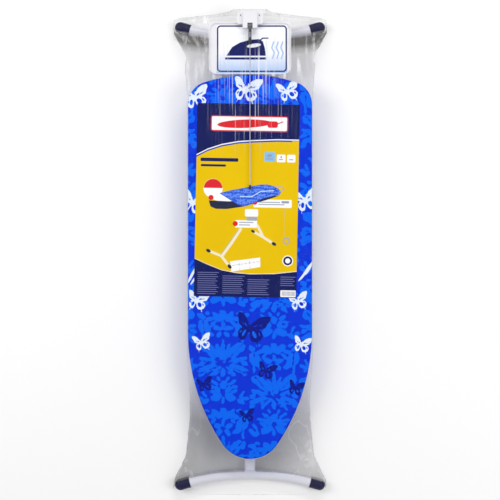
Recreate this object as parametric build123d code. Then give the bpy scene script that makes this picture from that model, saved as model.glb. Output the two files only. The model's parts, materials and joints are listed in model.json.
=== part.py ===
from build123d import *
import math
import os

# Folding ironing board, lying folded on its feet: +X across the board, +Y towards the tail
# with the iron rest, +Z up from the floor. Millimetres.

# ---------------------------------------------------------------- driving dimensions
# Board
BOARD_HALF = 192.0  # half the width of the foam core
TAIL_Y = 557.0  # tail edge of the core
TAIL_CROWN = 40.0  # how far the tail edge bows out over its width
TAIL_CORNER = 70.0  # corner radius at the tail
TAPER_Y = -422.7  # where the straight side would meet the taper
TAPER_APEX_Y = -727.5  # where the two tapers would meet
SHOULDER_RADIUS = 623.0  # bend from the side into the taper
NOSE_RADIUS = 102.0
CORE_BOTTOM = 42.0
CORE_THICK = 40.0
CHANNEL_HALF = 55.0  # half the width of the channel for the sliding gear
CHANNEL_DEPTH = 10.0
POCKET = (80.0, 100.0, 20.0)  # lightening pockets in the underside: X, Y, depth
POCKET_X = 108.0
POCKET_PITCH = 130.0
POCKET_ROWS = 6
POCKET_FIRST_Y = -270.0
FELT_THICK = 4.0
COVER_THICK = 1.5
COVER_GAP = 0.5
HEM_WIDTH = 32.0
HEM_THICK = 1.2
ELASTIC = (4.0, 1.2)  # width and thickness of the elastic in the hem
SPINE = (96.0, 2.0)  # width and thickness of the steel spine plate

# Legs: a scissor with equal upper arms, so that the slider runs straight
CROSS_Y = -6.5  # cross pivot
UPPER_ARM = 380.0  # cross pivot to either top pivot
LOWER_ARM = 692.5  # cross pivot to either foot
OPEN_ANGLE = 58.0  # leg angle at full height, degrees
INNER_TUBE = (34.0, 22.0, 1.5)  # oval tube: width, height, wall
OUTER_TUBE = (22.0, 1.5)  # round tube: diameter, wall
MERGE_X = 15.0  # twin tubes where they meet the foot
MERGE_RADIUS = 150.0
INNER_TOP = 18.0  # inner tube past its top pivot
OUTER_TOP = 14.0  # twin tubes past their top pivot
FOOT_TUBE = (34.0, 1.4)  # foot bar: diameter, wall
FOOT_HALF_SPAN = 239.0
FOOT_BOW = 40.0  # how far the foot's ends sweep away from the board
CAP_RADIUS = 18.0  # the folded legs lie at this height
CAP_LENGTH = 48.0
CAP_SPIGOT = 25.0

# Pivots and running gear
PIVOT_PIN = 8.0
CROSS_PIN = 10.0
RUNNING = 0.05  # radial running clearance
SIDE_GAP = 0.6  # play between a leg and what holds it sideways
EAR = (2.5, 28.0)  # rear bracket ear: thickness and width
EAR_DROP = 10.0  # ears and cheeks reach this far below the leg axis
EAR_ROUND = 9.0
BRACKET = (32.0, 24.0)  # half width and half length of the rear bracket
BRACKET_SCREW = (24.0, 15.0)  # its screws, from its middle
ROD_FOOT = (14.0, 30.0, 12.0, 3.0)  # rod bracket: half width, half foot, length, foot thickness
PIN_HEAD = (2.5, 1.8)  # rivet head: reach beyond the pin, and thickness
ROD = 8.0  # guide rod diameter
BUSH_WALL = 2.0
CARRIAGE_HALF = 17.0
CARRIAGE_Y = (-50.0, 30.0)  # from the slider pivot
CHEEK = (4.0, 28.0)  # carriage cheek: thickness and width
PLATE_TILT = 8.0  # clamp plate's lean at rest, degrees
PLATE = (2.5, 13.2)  # clamp plate: thickness and height
PLATE_X = (-11.0, 30.0)
PLATE_Y = -32.0  # foot of the clamp plate, from the slider pivot
POCKET_Y = (-40.0, -14.0)
SPRING_WIRE = 1.2

# Release
BAR = 8.0  # release bar diameter
BAR_FLAT = 3.0  # flat of the release bar, from its axis
BAR_X = 44.0
CAM_CLEAR = 0.15
CAM_RADIUS = 5.3
LEVER_WIDTH = 14.0
PADDLE_Y = 30.0
LEVER_TIP_Z = 15.0

# Iron rest and cord holder
REST_HALF = 129.0
REST_DEPTH = 162.0  # along the board
REST_RIM = 4.0  # rim above the floor of the tray
REST_SKIRT = 16.0  # skirt below it
REST_CORNER = 26.0
REST_WALL = 2.5
ARM = (24.0, 4.0)  # flat arms under the rest: width and thickness
ARM_X = 78.0
BOSS = (7.0, 2.0, 30.0, 34.0)  # tray boss: radius, bore radius, distance from either edge
STICKER = (221.0, 150.0, 0.4)
HOLDER_HALF = 23.0
JAW_GAP = 0.3
HOLDER_SIZE = (54.0, 48.0)  # along the board, and height
LOBE = (41.0, 35.0, 24.0)  # reach in X, size in Y, size in Z
SWIVEL_R = 6.5
SWIVEL_PIN = (2.0, 19.0)  # radius and half length
COIL = (11.0, 1.4, 2.6)  # coil foot of the cord rod: diameter, wire, pitch
COIL_LENGTH = 41.0
CORD_ROD = 3.0
CORD_ROD_LENGTH = 451.0

# Packaging
CARD = (319.0, 602.0, 0.8)
CARD_CENTRE = (-9.8, 167.6)
CARD_TURN = -1.1  # degrees
FILM = 0.8
FILM_SLACK = 3.5  # how far the film stands off what it covers
FILM_SLIT = 9.5  # half the width of the slit that lets the cord rod swing up

# ---------------------------------------------------------------- values worked out
CORE_TOP = CORE_BOTTOM + CORE_THICK
CHANNEL_TOP = CORE_BOTTOM + CHANNEL_DEPTH
SPINE_BOTTOM = CHANNEL_TOP - SPINE[1]
FELT_TOP = CORE_TOP + FELT_THICK
COVER_TOP = FELT_TOP + COVER_GAP / 2 + COVER_THICK
HEM_TOP = CORE_BOTTOM - COVER_GAP / 2
COVER_GROW = COVER_GAP + COVER_THICK
REAR_PIVOT_Y = CROSS_Y + UPPER_ARM
SLIDER_PIVOT_Y = CROSS_Y - UPPER_ARM
LEG_Z = CAP_RADIUS
NOSE_FOOT_Y = CROSS_Y - LOWER_ARM
TAIL_FOOT_Y = CROSS_Y + LOWER_ARM
TAPER_ANGLE = math.atan2(BOARD_HALF, TAPER_Y - TAPER_APEX_Y)
NOSE_APEX_GAP = NOSE_RADIUS / math.sin(TAPER_ANGLE) - NOSE_RADIUS
FOOT_RADIUS = (FOOT_HALF_SPAN**2 + FOOT_BOW**2) / (2 * FOOT_BOW)
EAR_X = INNER_TUBE[0] / 2 + SIDE_GAP + 0.9
PIN_R = PIVOT_PIN / 2
TUBE_R = OUTER_TUBE[0] / 2
OUTER_FACE = EAR_X + CHEEK[0] + 2.5
OUTER_TUBE_X = OUTER_FACE + TUBE_R
MERGE_Y = (REAR_PIVOT_Y + 56.5, TAIL_FOOT_Y - 86)
ROD_Z = CHANNEL_TOP - 12
BAR_Z = CHANNEL_TOP - 10
CARRIAGE_Z = (ROD_Z - 9, SPINE_BOTTOM - 0.8)
PLATE_Z = ROD_Z - 6.4
SLIDER_FAR_Y = REAR_PIVOT_Y - 2 * UPPER_ARM * math.cos(math.radians(OPEN_ANGLE))
ROD_Y = (SLIDER_PIVOT_Y + CARRIAGE_Y[0] - 19.5, SLIDER_FAR_Y + CARRIAGE_Y[1] + 25)
BAR_Y = (ROD_Y[0] - 16, ROD_Y[1] + 46)
LEVER_Y = BAR_Y[1] - 8
LEVER_TIP_X = BOARD_HALF - 8
SPINE_Y = (ROD_Y[0] - 14, REAR_PIVOT_Y + 46.5)
CHANNEL_Y = (SPINE_Y[0] - 10, SPINE_Y[1] + 10)
REST_FLOOR = CORE_TOP
REST_Z = (REST_FLOOR - REST_SKIRT, REST_FLOOR + REST_RIM)
REST_Y = (TAIL_Y + 5, TAIL_Y + 5 + REST_DEPTH)
ARM_TOP = HEM_TOP - HEM_THICK - 0.35
ARM_Y = (TAIL_Y - 117, REST_Y[1] - 24)
STICKER_CENTRE = (6.0, REST_Y[0] + 79)
SWIVEL_Z = COVER_TOP + 8.25
HOLDER_Z = (SWIVEL_Z + 8 - HOLDER_SIZE[1], SWIVEL_Z + 8)
HOLDER_Y = (REST_Y[1] - 21, REST_Y[1] - 21 + HOLDER_SIZE[0])
SWIVEL_Y = HOLDER_Y[0] + 9
COIL_Y = (HOLDER_Y[0] - COIL_LENGTH, HOLDER_Y[0])
ROD_TIP_Y = COIL_Y[0] - CORD_ROD_LENGTH
FILM_HALF_LENGTH = max(HOLDER_Y[1], -NOSE_FOOT_Y + FOOT_BOW + CAP_RADIUS) + 3


# ---------------------------------------------------------------- helpers
def block(x, y, z):
    """A box from its low and high values along each axis."""
    size = [span[1] - span[0] for span in (x, y, z)]
    middle = [(span[1] + span[0]) / 2 for span in (x, y, z)]
    return Pos(*middle) * Box(*size)


def rod_x(radius, x, y, z):
    """A round bar along X."""
    middle = (x[0] + x[1]) / 2
    return Pos(middle, y, z) * Rot(0, 90, 0) * Cylinder(radius, x[1] - x[0])


def rod_y(radius, x, y, z):
    """A round bar along Y."""
    middle = (y[0] + y[1]) / 2
    return Pos(x, middle, z) * Rot(90, 0, 0) * Cylinder(radius, y[1] - y[0])


def rod_z(radius, x, y, z):
    """A round bar along Z."""
    middle = (z[0] + z[1]) / 2
    return Pos(x, y, middle) * Cylinder(radius, z[1] - z[0])


def mirrored(shape):
    """The shape and its mirror image across the board's middle."""
    return Compound(children=[shape, mirror(shape, about=Plane.YZ)])


def save(name, shape):
    solids = shape.solids()
    kept = solids[0] if len(solids) == 1 else Compound(children=list(solids))
    export_step(kept, f"parts/{name}.step")


def board_face(grow):
    """The board's outline, grown outwards by the given amount."""
    shoulder_y = TAIL_Y - TAIL_CROWN
    side = Line((BOARD_HALF, shoulder_y), (BOARD_HALF, TAPER_Y))
    taper = Line((BOARD_HALF, TAPER_Y), (0, TAPER_APEX_Y))
    taper_left = Line((0, TAPER_APEX_Y), (-BOARD_HALF, TAPER_Y))
    side_left = Line((-BOARD_HALF, TAPER_Y), (-BOARD_HALF, shoulder_y))
    tail = ThreePointArc((-BOARD_HALF, shoulder_y), (0, TAIL_Y), (BOARD_HALF, shoulder_y))
    face = make_face([side, taper, taper_left, side_left, tail])
    by_height = face.vertices().sort_by(Axis.Y)
    face = fillet(by_height[3:5], TAIL_CORNER)
    by_height = face.vertices().sort_by(Axis.Y)
    face = fillet(by_height[1:3], SHOULDER_RADIUS)
    face = fillet(face.vertices().sort_by(Axis.Y)[0], NOSE_RADIUS)
    return offset(face, grow) if grow else face


def slab(face, z):
    """A face drawn at height 0, made into a plate between two heights."""
    return Pos(0, 0, z[0]) * extrude(face, z[1] - z[0])


def screw(x, y, z, head, shank, up=True):
    """A pan-head screw that enters upwards from z, or downwards."""
    way = 1 if up else -1
    lens = rod_z(head / 2, x, y, sorted((z - way * 1.8, z)))
    body = rod_z(head / 4, x, y, sorted((z, z + way * shank)))
    return lens + body


# ---------------------------------------------------------------- board
def board_core():
    core = slab(board_face(0), (CORE_BOTTOM, CORE_TOP))
    channel = block((-CHANNEL_HALF, CHANNEL_HALF), CHANNEL_Y, (CORE_BOTTOM - 1, CHANNEL_TOP))
    core -= channel
    for row in range(POCKET_ROWS):
        y = POCKET_FIRST_Y + row * POCKET_PITCH
        hollow = Pos(0, y, CORE_BOTTOM) * Box(POCKET[0], POCKET[1], 2 * POCKET[2])
        hollow = fillet(hollow.edges().filter_by(Axis.Z), 12)
        core -= Pos(POCKET_X, 0, 0) * hollow
        core -= Pos(-POCKET_X, 0, 0) * hollow
    return core - core_screw_holes()


def spine_screws():
    """Countersunk screws, flush with the spine plate."""
    low, high = SPINE_Y[0] + 30, SPINE_Y[1] - 15
    rows = [low + (high - low) * step / 6 for step in range(7)]
    places = [(-40, y) for y in rows] + [(40, y) for y in rows[-3:]]
    screws = []
    for x, y in places:
        head = Pos(x, y, SPINE_BOTTOM + 0.9) * Cone(4.2, 2.4, 1.8)
        screws.append(head + rod_z(2.4, x, y, (SPINE_BOTTOM + 1.7, CHANNEL_TOP + 18)))
    return Compound(children=screws)


def bracket_screws():
    """Screws of the rear bracket, the rod brackets, the bar bearings and the rest arms."""
    screws = []
    for x in (-BRACKET_SCREW[0], BRACKET_SCREW[0]):
        for y in (REAR_PIVOT_Y - BRACKET_SCREW[1], REAR_PIVOT_Y + BRACKET_SCREW[1]):
            screws.append(screw(x, y, SPINE_BOTTOM - EAR[0], 8, 16))
        for y in (ROD_Y[0] + ROD_FOOT[2] / 2, ROD_Y[1] - ROD_FOOT[2] / 2):
            screws.append(screw(x, y, SPINE_BOTTOM - ROD_FOOT[3], 6, 16))
    for x in (-ARM_X, ARM_X):
        for y in (ARM_Y[0] + 12, ARM_Y[0] + 38):
            screws.append(screw(x, y, ARM_TOP - ARM[1], 8, 22))
    return Compound(children=screws)


def core_screw_holes():
    """The core gives way to every screw that bites into it."""
    return Compound(children=list(spine_screws().solids()) + list(bracket_screws().solids()))


def spine_plate():
    plate = block((-SPINE[0] / 2, SPINE[0] / 2), SPINE_Y, (SPINE_BOTTOM, CHANNEL_TOP))
    return plate - core_screw_holes()


def cover():
    outer = slab(board_face(COVER_GROW), (HEM_TOP - HEM_THICK, COVER_TOP))
    inner = slab(board_face(COVER_GAP), (HEM_TOP, FELT_TOP + COVER_GAP / 2))
    opening = slab(board_face(-HEM_WIDTH), (HEM_TOP - 2 * HEM_THICK, HEM_TOP + 1))
    return outer - inner - opening


def hem_elastic():
    outer = board_face(-HEM_WIDTH - 0.3)
    inner = board_face(-HEM_WIDTH - 0.3 - ELASTIC[0])
    return slab(outer - inner, (HEM_TOP - ELASTIC[1], HEM_TOP))


def rear_bracket():
    high = SPINE_BOTTOM
    low = LEG_Z - EAR_DROP
    base_y = (REAR_PIVOT_Y - BRACKET[1], REAR_PIVOT_Y + BRACKET[1])
    base = block((-BRACKET[0], BRACKET[0]), base_y, (high - EAR[0], high))
    ears = base
    for x in ((EAR_X, EAR_X + EAR[0]), (-EAR_X - EAR[0], -EAR_X)):
        span = (REAR_PIVOT_Y - EAR[1] / 2, REAR_PIVOT_Y + EAR[1] / 2)
        ear = block(x, span, (low, high - EAR[0] / 2))
        ear = fillet(ear.edges().filter_by(Axis.X).group_by(Axis.Z)[0], EAR_ROUND)
        ears += ear
    hole = rod_x(PIN_R, (-30, 30), REAR_PIVOT_Y, LEG_Z)
    return ears - hole - core_screw_holes()


def rear_pivot_pin():
    reach = EAR_X + EAR[0]
    pin = rod_x(PIN_R, (-reach - 0.5, reach + 0.5), REAR_PIVOT_Y, LEG_Z)
    for x in ((reach, reach + PIN_HEAD[1]), (-reach - PIN_HEAD[1], -reach)):
        pin += rod_x(PIN_R + PIN_HEAD[0], x, REAR_PIVOT_Y, LEG_Z)
    return pin


def guide_rod():
    return rod_y(ROD / 2, 0, ROD_Y, ROD_Z)


def guide_rod_brackets():
    brackets = []
    half, foot, length, thick = ROD_FOOT
    for y in ((ROD_Y[0], ROD_Y[0] + length), (ROD_Y[1] - length, ROD_Y[1])):
        body = block((-half, half), y, (ROD_Z - ROD / 2 - 3, SPINE_BOTTOM))
        body = fillet(body.edges().filter_by(Axis.Y).group_by(Axis.Z)[0], 5)
        body += block((-foot, foot), y, (SPINE_BOTTOM - thick, SPINE_BOTTOM))
        brackets.append(body - guide_rod() - bracket_screws())
    return Compound(children=brackets)


# ---------------------------------------------------------------- iron rest
def rest_tray():
    middle = (REST_Y[0] + REST_Y[1]) / 2
    depth = REST_Y[1] - REST_Y[0]
    wall = 2 * REST_WALL
    outline = Pos(0, middle) * RectangleRounded(2 * REST_HALF, depth, REST_CORNER)
    inside = Pos(0, middle) * RectangleRounded(
        2 * REST_HALF - wall, depth - wall, REST_CORNER - REST_WALL
    )
    tray = slab(outline, REST_Z)
    tray -= slab(inside, (REST_FLOOR, REST_Z[1] + 1))
    tray -= slab(inside, (REST_Z[0] - 1, REST_FLOOR - REST_WALL))
    for x in (-ARM_X, ARM_X):
        for y in (REST_Y[0] + BOSS[2], REST_Y[1] - BOSS[3]):
            tray += rod_z(BOSS[0], x, y, (ARM_TOP, REST_FLOOR - REST_WALL))
            tray -= rod_z(BOSS[1], x, y, (ARM_TOP - 1, ARM_TOP + 14))
    return tray - cord_holder_clamp_envelope()


def rest_arms():
    x = (ARM_X - ARM[0] / 2, ARM_X + ARM[0] / 2)
    arm = block(x, ARM_Y, (ARM_TOP - ARM[1], ARM_TOP))
    arm = fillet(arm.edges().filter_by(Axis.Z), 8)
    arm += block(x, (ARM_Y[0], ARM_Y[0] + 50), (ARM_TOP - 1, CORE_BOTTOM))
    arms = mirrored(arm)
    cutters = Compound(children=list(rest_screws().solids()) + list(bracket_screws().solids()))
    return Compound(children=[one - cutters for one in arms.solids()])


def rest_screws():
    screws = []
    for x in (-ARM_X, ARM_X):
        for y in (REST_Y[0] + BOSS[2], REST_Y[1] - BOSS[3]):
            head = rod_z(4, x, y, (ARM_TOP - ARM[1], ARM_TOP - ARM[1] + 1.8))
            screws.append(head + rod_z(BOSS[1], x, y, (ARM_TOP - ARM[1] + 1.8, ARM_TOP + 13)))
    return Compound(children=screws)


def rest_sticker():
    outline = Pos(*STICKER_CENTRE) * RectangleRounded(STICKER[0], STICKER[1], 12)
    sticker = slab(outline, (REST_FLOOR, REST_FLOOR + STICKER[2]))
    return sticker - cord_holder_clamp_envelope()


def cord_holder_clamp_envelope():
    """Room in the tray for the upper jaw, which reaches down to the tray's floor."""
    x = (-HOLDER_HALF - JAW_GAP, HOLDER_HALF + JAW_GAP)
    y = (HOLDER_Y[0] - JAW_GAP, REST_Y[1] + 1)
    return block(x, y, (REST_FLOOR, REST_Z[1] + 1))


def cord_holder_clamp():
    x = (-HOLDER_HALF, HOLDER_HALF)
    body = block(x, HOLDER_Y, HOLDER_Z)
    throat_z = (REST_Z[0] - 4, REST_FLOOR)
    body -= block((-60, 60), (HOLDER_Y[0] - 1, REST_Y[1] + JAW_GAP), throat_z)
    body = fillet(body.edges().filter_by(Axis.Z).group_by(Axis.Y)[-1], 6)
    body = chamfer(body.faces().sort_by(Axis.Z)[-1].edges(), 1.2)
    lobe_y = (HOLDER_Y[1] - 5 - LOBE[1], HOLDER_Y[1] - 5)
    lobe_z = (HOLDER_Z[1] - 8 - LOBE[2], HOLDER_Z[1] - 8)
    wing = block((HOLDER_HALF - 1, LOBE[0]), (REST_Y[1] + 1, lobe_y[1]), lobe_z)
    upper = (REST_Z[1] + JAW_GAP, lobe_z[1])
    wing += block((HOLDER_HALF - 1, LOBE[0]), (lobe_y[0], REST_Y[1] + 2), upper)
    wing = fillet(wing.edges().filter_by(Axis.Z).group_by(Axis.X)[-1], 7)
    wing -= block((HOLDER_HALF + 5, HOLDER_HALF + 8), (lobe_y[0] + 6, lobe_y[1] - 6), (50, 120))
    body = body + wing + mirror(wing, about=Plane.YZ)
    slot_z = (SWIVEL_Z - SWIVEL_R - 0.6, HOLDER_Z[1] + 1)
    body -= block((-8, 8), (HOLDER_Y[0] - 1, SWIVEL_Y + SWIVEL_R + 0.6), slot_z)
    return body - swivel_pin() - clamp_screw()


def swivel_pin():
    radius, half = SWIVEL_PIN
    return rod_x(radius, (-half, half), SWIVEL_Y, SWIVEL_Z)


def clamp_screw():
    """Thumb screw that presses the lower jaw's pad against the tray."""
    y = HOLDER_Y[0] + 12
    stem = rod_z(3, 0, y, (HOLDER_Z[0] - 4, REST_Z[0] - 1))
    knob = Pos(0, y, HOLDER_Z[0] - 8) * extrude(RegularPolygon(9, 8), 7.5)
    return stem + knob


# ---------------------------------------------------------------- legs
def foot_segment(radius, start, end, away, middle_y):
    """A length of the foot's bowed bar, from one distance beside its middle to another."""
    first = math.degrees(math.asin(start / FOOT_RADIUS))
    last = math.degrees(math.asin(end / FOOT_RADIUS))
    section = Plane.YZ * Pos(-away * FOOT_RADIUS, 0) * Circle(radius)
    turn = first if away > 0 else -last
    bar = Rot(0, 0, turn) * revolve(section, Axis.Z, last - first)
    return Pos(0, middle_y + away * FOOT_RADIUS, LEG_Z) * bar


def solid_foot(away, middle_y):
    """The foot bar without its bore."""
    reach = FOOT_HALF_SPAN - CAP_LENGTH
    return foot_segment(FOOT_TUBE[0] / 2, -reach, reach, away, middle_y)


def foot_bar(away, middle_y):
    reach = FOOT_HALF_SPAN - CAP_LENGTH + 5
    bore = FOOT_TUBE[0] / 2 - FOOT_TUBE[1]
    return solid_foot(away, middle_y) - foot_segment(bore, -reach, reach, away, middle_y)


def foot_caps(away, middle_y):
    """Rounded end caps, each with a spigot inside the bar."""
    caps = []
    dome_x = FOOT_HALF_SPAN - CAP_RADIUS
    tube_end = FOOT_HALF_SPAN - CAP_LENGTH
    spigot = FOOT_TUBE[0] / 2 - FOOT_TUBE[1] - 0.1
    drop = FOOT_RADIUS - math.sqrt(FOOT_RADIUS**2 - dome_x**2)
    for side in (-1, 1):
        skirt = sorted((side * tube_end, side * dome_x))
        plug = sorted((side * (tube_end - CAP_SPIGOT), side * (tube_end + 1)))
        cap = foot_segment(CAP_RADIUS, *skirt, away, middle_y)
        cap += foot_segment(spigot, *plug, away, middle_y)
        cap += Pos(side * dome_x, middle_y + away * drop, LEG_Z) * Sphere(CAP_RADIUS)
        caps.append(cap)
    return Compound(children=caps)


def oval(width, height):
    return SlotOverall(width, height) if width > height else Circle(width / 2)


def inner_leg_tube():
    y = (NOSE_FOOT_Y, REAR_PIVOT_Y + INNER_TOP)
    width, height, wall = INNER_TUBE
    outline = oval(width, height) - oval(width - 2 * wall, height - 2 * wall)
    tube = Plane.XZ.offset(-y[1]) * outline
    tube = Pos(0, 0, LEG_Z) * extrude(tube, y[1] - y[0])
    tube -= solid_foot(-1, NOSE_FOOT_Y)
    tube -= rod_x(PIN_R + BUSH_WALL, (-40, 40), REAR_PIVOT_Y, LEG_Z)
    return tube - rod_x(CROSS_PIN / 2 + BUSH_WALL, (-40, 40), CROSS_Y, LEG_Z)


def inner_leg_plug():
    width, height, wall = INNER_TUBE
    end = REAR_PIVOT_Y + INNER_TOP
    core = Plane.XZ.offset(-end) * oval(width - 2 * wall - 0.2, height - 2 * wall - 0.2)
    plug = Pos(0, 0, LEG_Z) * extrude(core, 10)
    lid = Plane.XZ.offset(-end - 2) * oval(width, height)
    return plug + Pos(0, 0, LEG_Z) * extrude(lid, 2)


def bush_x(bore, half, y, wall=BUSH_WALL):
    body = rod_x(bore / 2 + wall, (-half, half), y, LEG_Z)
    return body - rod_x(bore / 2 + RUNNING, (-half - 1, half + 1), y, LEG_Z)


def inner_leg_bush():
    return bush_x(PIVOT_PIN, INNER_TUBE[0] / 2 + SIDE_GAP, REAR_PIVOT_Y)


def cross_bush():
    """Bush with collars that keep the twin tubes clear of the inner leg."""
    inner = INNER_TUBE[0] / 2
    bush = bush_x(CROSS_PIN, inner, CROSS_Y)
    for x in ((inner, OUTER_FACE - SIDE_GAP / 2), (SIDE_GAP / 2 - OUTER_FACE, -inner)):
        collar = rod_x(CROSS_PIN / 2 + 4, x, CROSS_Y, LEG_Z)
        bush += collar - rod_x(CROSS_PIN / 2 + RUNNING, (-40, 40), CROSS_Y, LEG_Z)
    return bush


def cross_pin():
    reach = OUTER_TUBE_X + TUBE_R
    pin = rod_x(CROSS_PIN / 2, (-reach, reach), CROSS_Y, LEG_Z)
    for x in ((reach, reach + 2.5), (-reach - 2.5, -reach)):
        pin += rod_x(CROSS_PIN / 2 + 3, x, CROSS_Y, LEG_Z)
    return pin


def outer_tube(radius):
    """One of the twin tubes, filled, along its bent line."""
    top = SLIDER_PIVOT_Y - OUTER_TOP
    points = [(OUTER_TUBE_X, top), (OUTER_TUBE_X, MERGE_Y[0])]
    points += [(MERGE_X, MERGE_Y[1]), (MERGE_X, TAIL_FOOT_Y)]
    line = FilletPolyline(*[(x, y, LEG_Z) for x, y in points], radius=MERGE_RADIUS)
    section = Plane(line @ 0, z_dir=line % 0) * Circle(radius)
    return sweep(section, path=line)


def outer_leg_tubes():
    tube = outer_tube(TUBE_R) - outer_tube(TUBE_R - OUTER_TUBE[1])
    tube -= solid_foot(1, TAIL_FOOT_Y)
    tube -= rod_x(PIN_R + BUSH_WALL, (0, 60), SLIDER_PIVOT_Y, LEG_Z)
    tube -= rod_x(CROSS_PIN / 2, (0, 60), CROSS_Y, LEG_Z)
    return mirrored(tube)


def outer_leg_bushes():
    x = (OUTER_FACE - 1, OUTER_TUBE_X + TUBE_R)
    bush = rod_x(PIN_R + BUSH_WALL, x, SLIDER_PIVOT_Y, LEG_Z)
    return mirrored(bush - rod_x(PIN_R + RUNNING, (0, 60), SLIDER_PIVOT_Y, LEG_Z))


def outer_leg_plugs():
    end = SLIDER_PIVOT_Y - OUTER_TOP
    plug = rod_y(TUBE_R - OUTER_TUBE[1] - 0.1, OUTER_TUBE_X, (end, end + 6), LEG_Z)
    return mirrored(plug + rod_y(TUBE_R, OUTER_TUBE_X, (end - 2, end), LEG_Z))


# ---------------------------------------------------------------- slider and clamp
def slider_carriage():
    y = [SLIDER_PIVOT_Y + offset for offset in CARRIAGE_Y]
    body = block((-CARRIAGE_HALF, CARRIAGE_HALF), y, CARRIAGE_Z)
    cheek_y = (SLIDER_PIVOT_Y - CHEEK[1] / 2, SLIDER_PIVOT_Y + CHEEK[1] / 2)
    inner = EAR_X
    body += block((-inner - 1, inner + 1), cheek_y, CARRIAGE_Z)
    for x in ((inner, inner + CHEEK[0]), (-inner - CHEEK[0], -inner)):
        cheek = block(x, cheek_y, (LEG_Z - EAR_DROP, CARRIAGE_Z[1]))
        body += fillet(cheek.edges().filter_by(Axis.X).group_by(Axis.Z)[0], EAR_ROUND)
    arm_z = (BAR_Z + CAM_RADIUS + 0.2, CARRIAGE_Z[1])
    body += block((CARRIAGE_HALF - 1, BAR_X + 6), (y[0], y[0] + 20), arm_z)
    for lug in ((y[0], y[0] + 3.6), (y[0] + 16.4, y[0] + 20)):
        body += block((BAR_X - 6, BAR_X + 6), lug, (BAR_Z - 6, CARRIAGE_Z[1]))
    pocket = [SLIDER_PIVOT_Y + offset for offset in POCKET_Y]
    body -= block((-13, CARRIAGE_HALF + 1), pocket, (PLATE_Z - 0.6, CARRIAGE_Z[1] + 1))
    body -= rod_y(ROD / 2 + 0.8, 0, (y[0] - 1, y[1] + 1), ROD_Z)
    body -= rod_y(BAR / 2 + 0.6, BAR_X, (y[0] - 1, y[0] + 30), BAR_Z)
    for ends in bush_places():
        body -= rod_y(ROD / 2 + BUSH_WALL, 0, ends, ROD_Z)
    return body - rod_x(PIN_R, (-60, 60), SLIDER_PIVOT_Y, LEG_Z)


def bush_places():
    low, high = [SLIDER_PIVOT_Y + offset for offset in CARRIAGE_Y]
    return (low, low + 9), (high - 12, high)


def slider_bushes():
    bushes = []
    for ends in bush_places():
        bush = rod_y(ROD / 2 + BUSH_WALL, 0, ends, ROD_Z)
        bushes.append(bush - rod_y(ROD / 2 + RUNNING, 0, (ends[0] - 1, ends[1] + 1), ROD_Z))
    return Compound(children=bushes)


def slider_pins():
    inner = EAR_X
    far = OUTER_TUBE_X + TUBE_R
    pin = rod_x(PIN_R, (inner, far + 0.5), SLIDER_PIVOT_Y, LEG_Z)
    pin += rod_x(PIN_R + PIN_HEAD[0], (far + 0.3, far + 2.3), SLIDER_PIVOT_Y, LEG_Z)
    return mirrored(pin)


def clamp_plate():
    plate = block(PLATE_X, (-PLATE[0] / 2, PLATE[0] / 2), (0, PLATE[1]))
    hole_z = (ROD_Z - PLATE_Z) / math.cos(math.radians(PLATE_TILT))
    plate -= rod_y(ROD / 2 + 0.45, 0, (-5, 5), hole_z)
    plate = fillet(plate.edges().filter_by(Axis.Y).group_by(Axis.X)[-1], 3)
    return Pos(0, SLIDER_PIVOT_Y + PLATE_Y, PLATE_Z) * Rot(PLATE_TILT, 0, 0) * plate


def clamp_spring():
    start = SLIDER_PIVOT_Y + PLATE_Y + PLATE[0] / 2 + SPRING_WIRE / 2 + 0.3
    end = SLIDER_PIVOT_Y + POCKET_Y[1] - SPRING_WIRE / 2 - 0.3
    return coil(5.9, SPRING_WIRE, end - start, (end - start) / 4, start, ROD_Z)


def coil(radius, wire, length, pitch, start_y, z, x=0):
    """A helical spring along Y."""
    path = Helix(pitch, length, radius)
    section = Plane(path @ 0, z_dir=path % 0) * Circle(wire / 2)
    spring = sweep(section, path=path, is_frenet=True)
    return Pos(x, start_y, z) * Rot(-90, 0, 0) * spring


# ---------------------------------------------------------------- release
def release_bar():
    bar = rod_y(BAR / 2, BAR_X, BAR_Y, BAR_Z)
    return bar - block((BAR_X - 5, BAR_X + 5), BAR_Y, (BAR_Z - 6, BAR_Z - BAR_FLAT))


def bar_bearings():
    bearings = []
    for y in ((BAR_Y[0] + 2, BAR_Y[0] + 12), (LEVER_Y - 28, LEVER_Y - 20)):
        post = block((BAR_X - 7.5, BAR_X + 7.5), y, (BAR_Z - 7, CHANNEL_TOP))
        post -= block((-SPINE[0] / 2, SPINE[0] / 2), SPINE_Y, (SPINE_BOTTOM, CHANNEL_TOP + 1))
        bearings.append(post - rod_y(BAR / 2 + RUNNING, BAR_X, (y[0] - 1, y[1] + 1), BAR_Z))
    return Compound(children=bearings)


def release_lever():
    hub_y = (LEVER_Y - LEVER_WIDTH / 2, LEVER_Y + LEVER_WIDTH / 2)
    hub = rod_y(7, BAR_X, hub_y, BAR_Z)
    points = [(BAR_X - 2, BAR_Z - 6.4), (BAR_X + 6, BAR_Z - 3.5), (BAR_X + 22, 31)]
    points += [(110, 20), (LEVER_TIP_X, LEVER_TIP_Z + 5), (LEVER_TIP_X, LEVER_TIP_Z)]
    points += [(108, 14.5), (BAR_X + 16, 26)]
    arm = Plane.XZ.offset(-hub_y[1]) * make_face(Polyline(*points, close=True))
    lever = hub + extrude(arm, LEVER_WIDTH)
    paddle_y = (LEVER_Y - PADDLE_Y / 2, LEVER_Y + PADDLE_Y / 2)
    paddle = block((118, LEVER_TIP_X), paddle_y, (LEVER_TIP_Z - 0.5, LEVER_TIP_Z + 5))
    lever += fillet(paddle.edges().filter_by(Axis.Z), 8)
    lever -= rod_y(BAR / 2, BAR_X, hub_y, BAR_Z)
    fill = block((BAR_X - 4, BAR_X + 4), hub_y, (BAR_Z - 5, BAR_Z - BAR_FLAT))
    return lever + (fill & rod_y(5, BAR_X, hub_y, BAR_Z))


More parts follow.
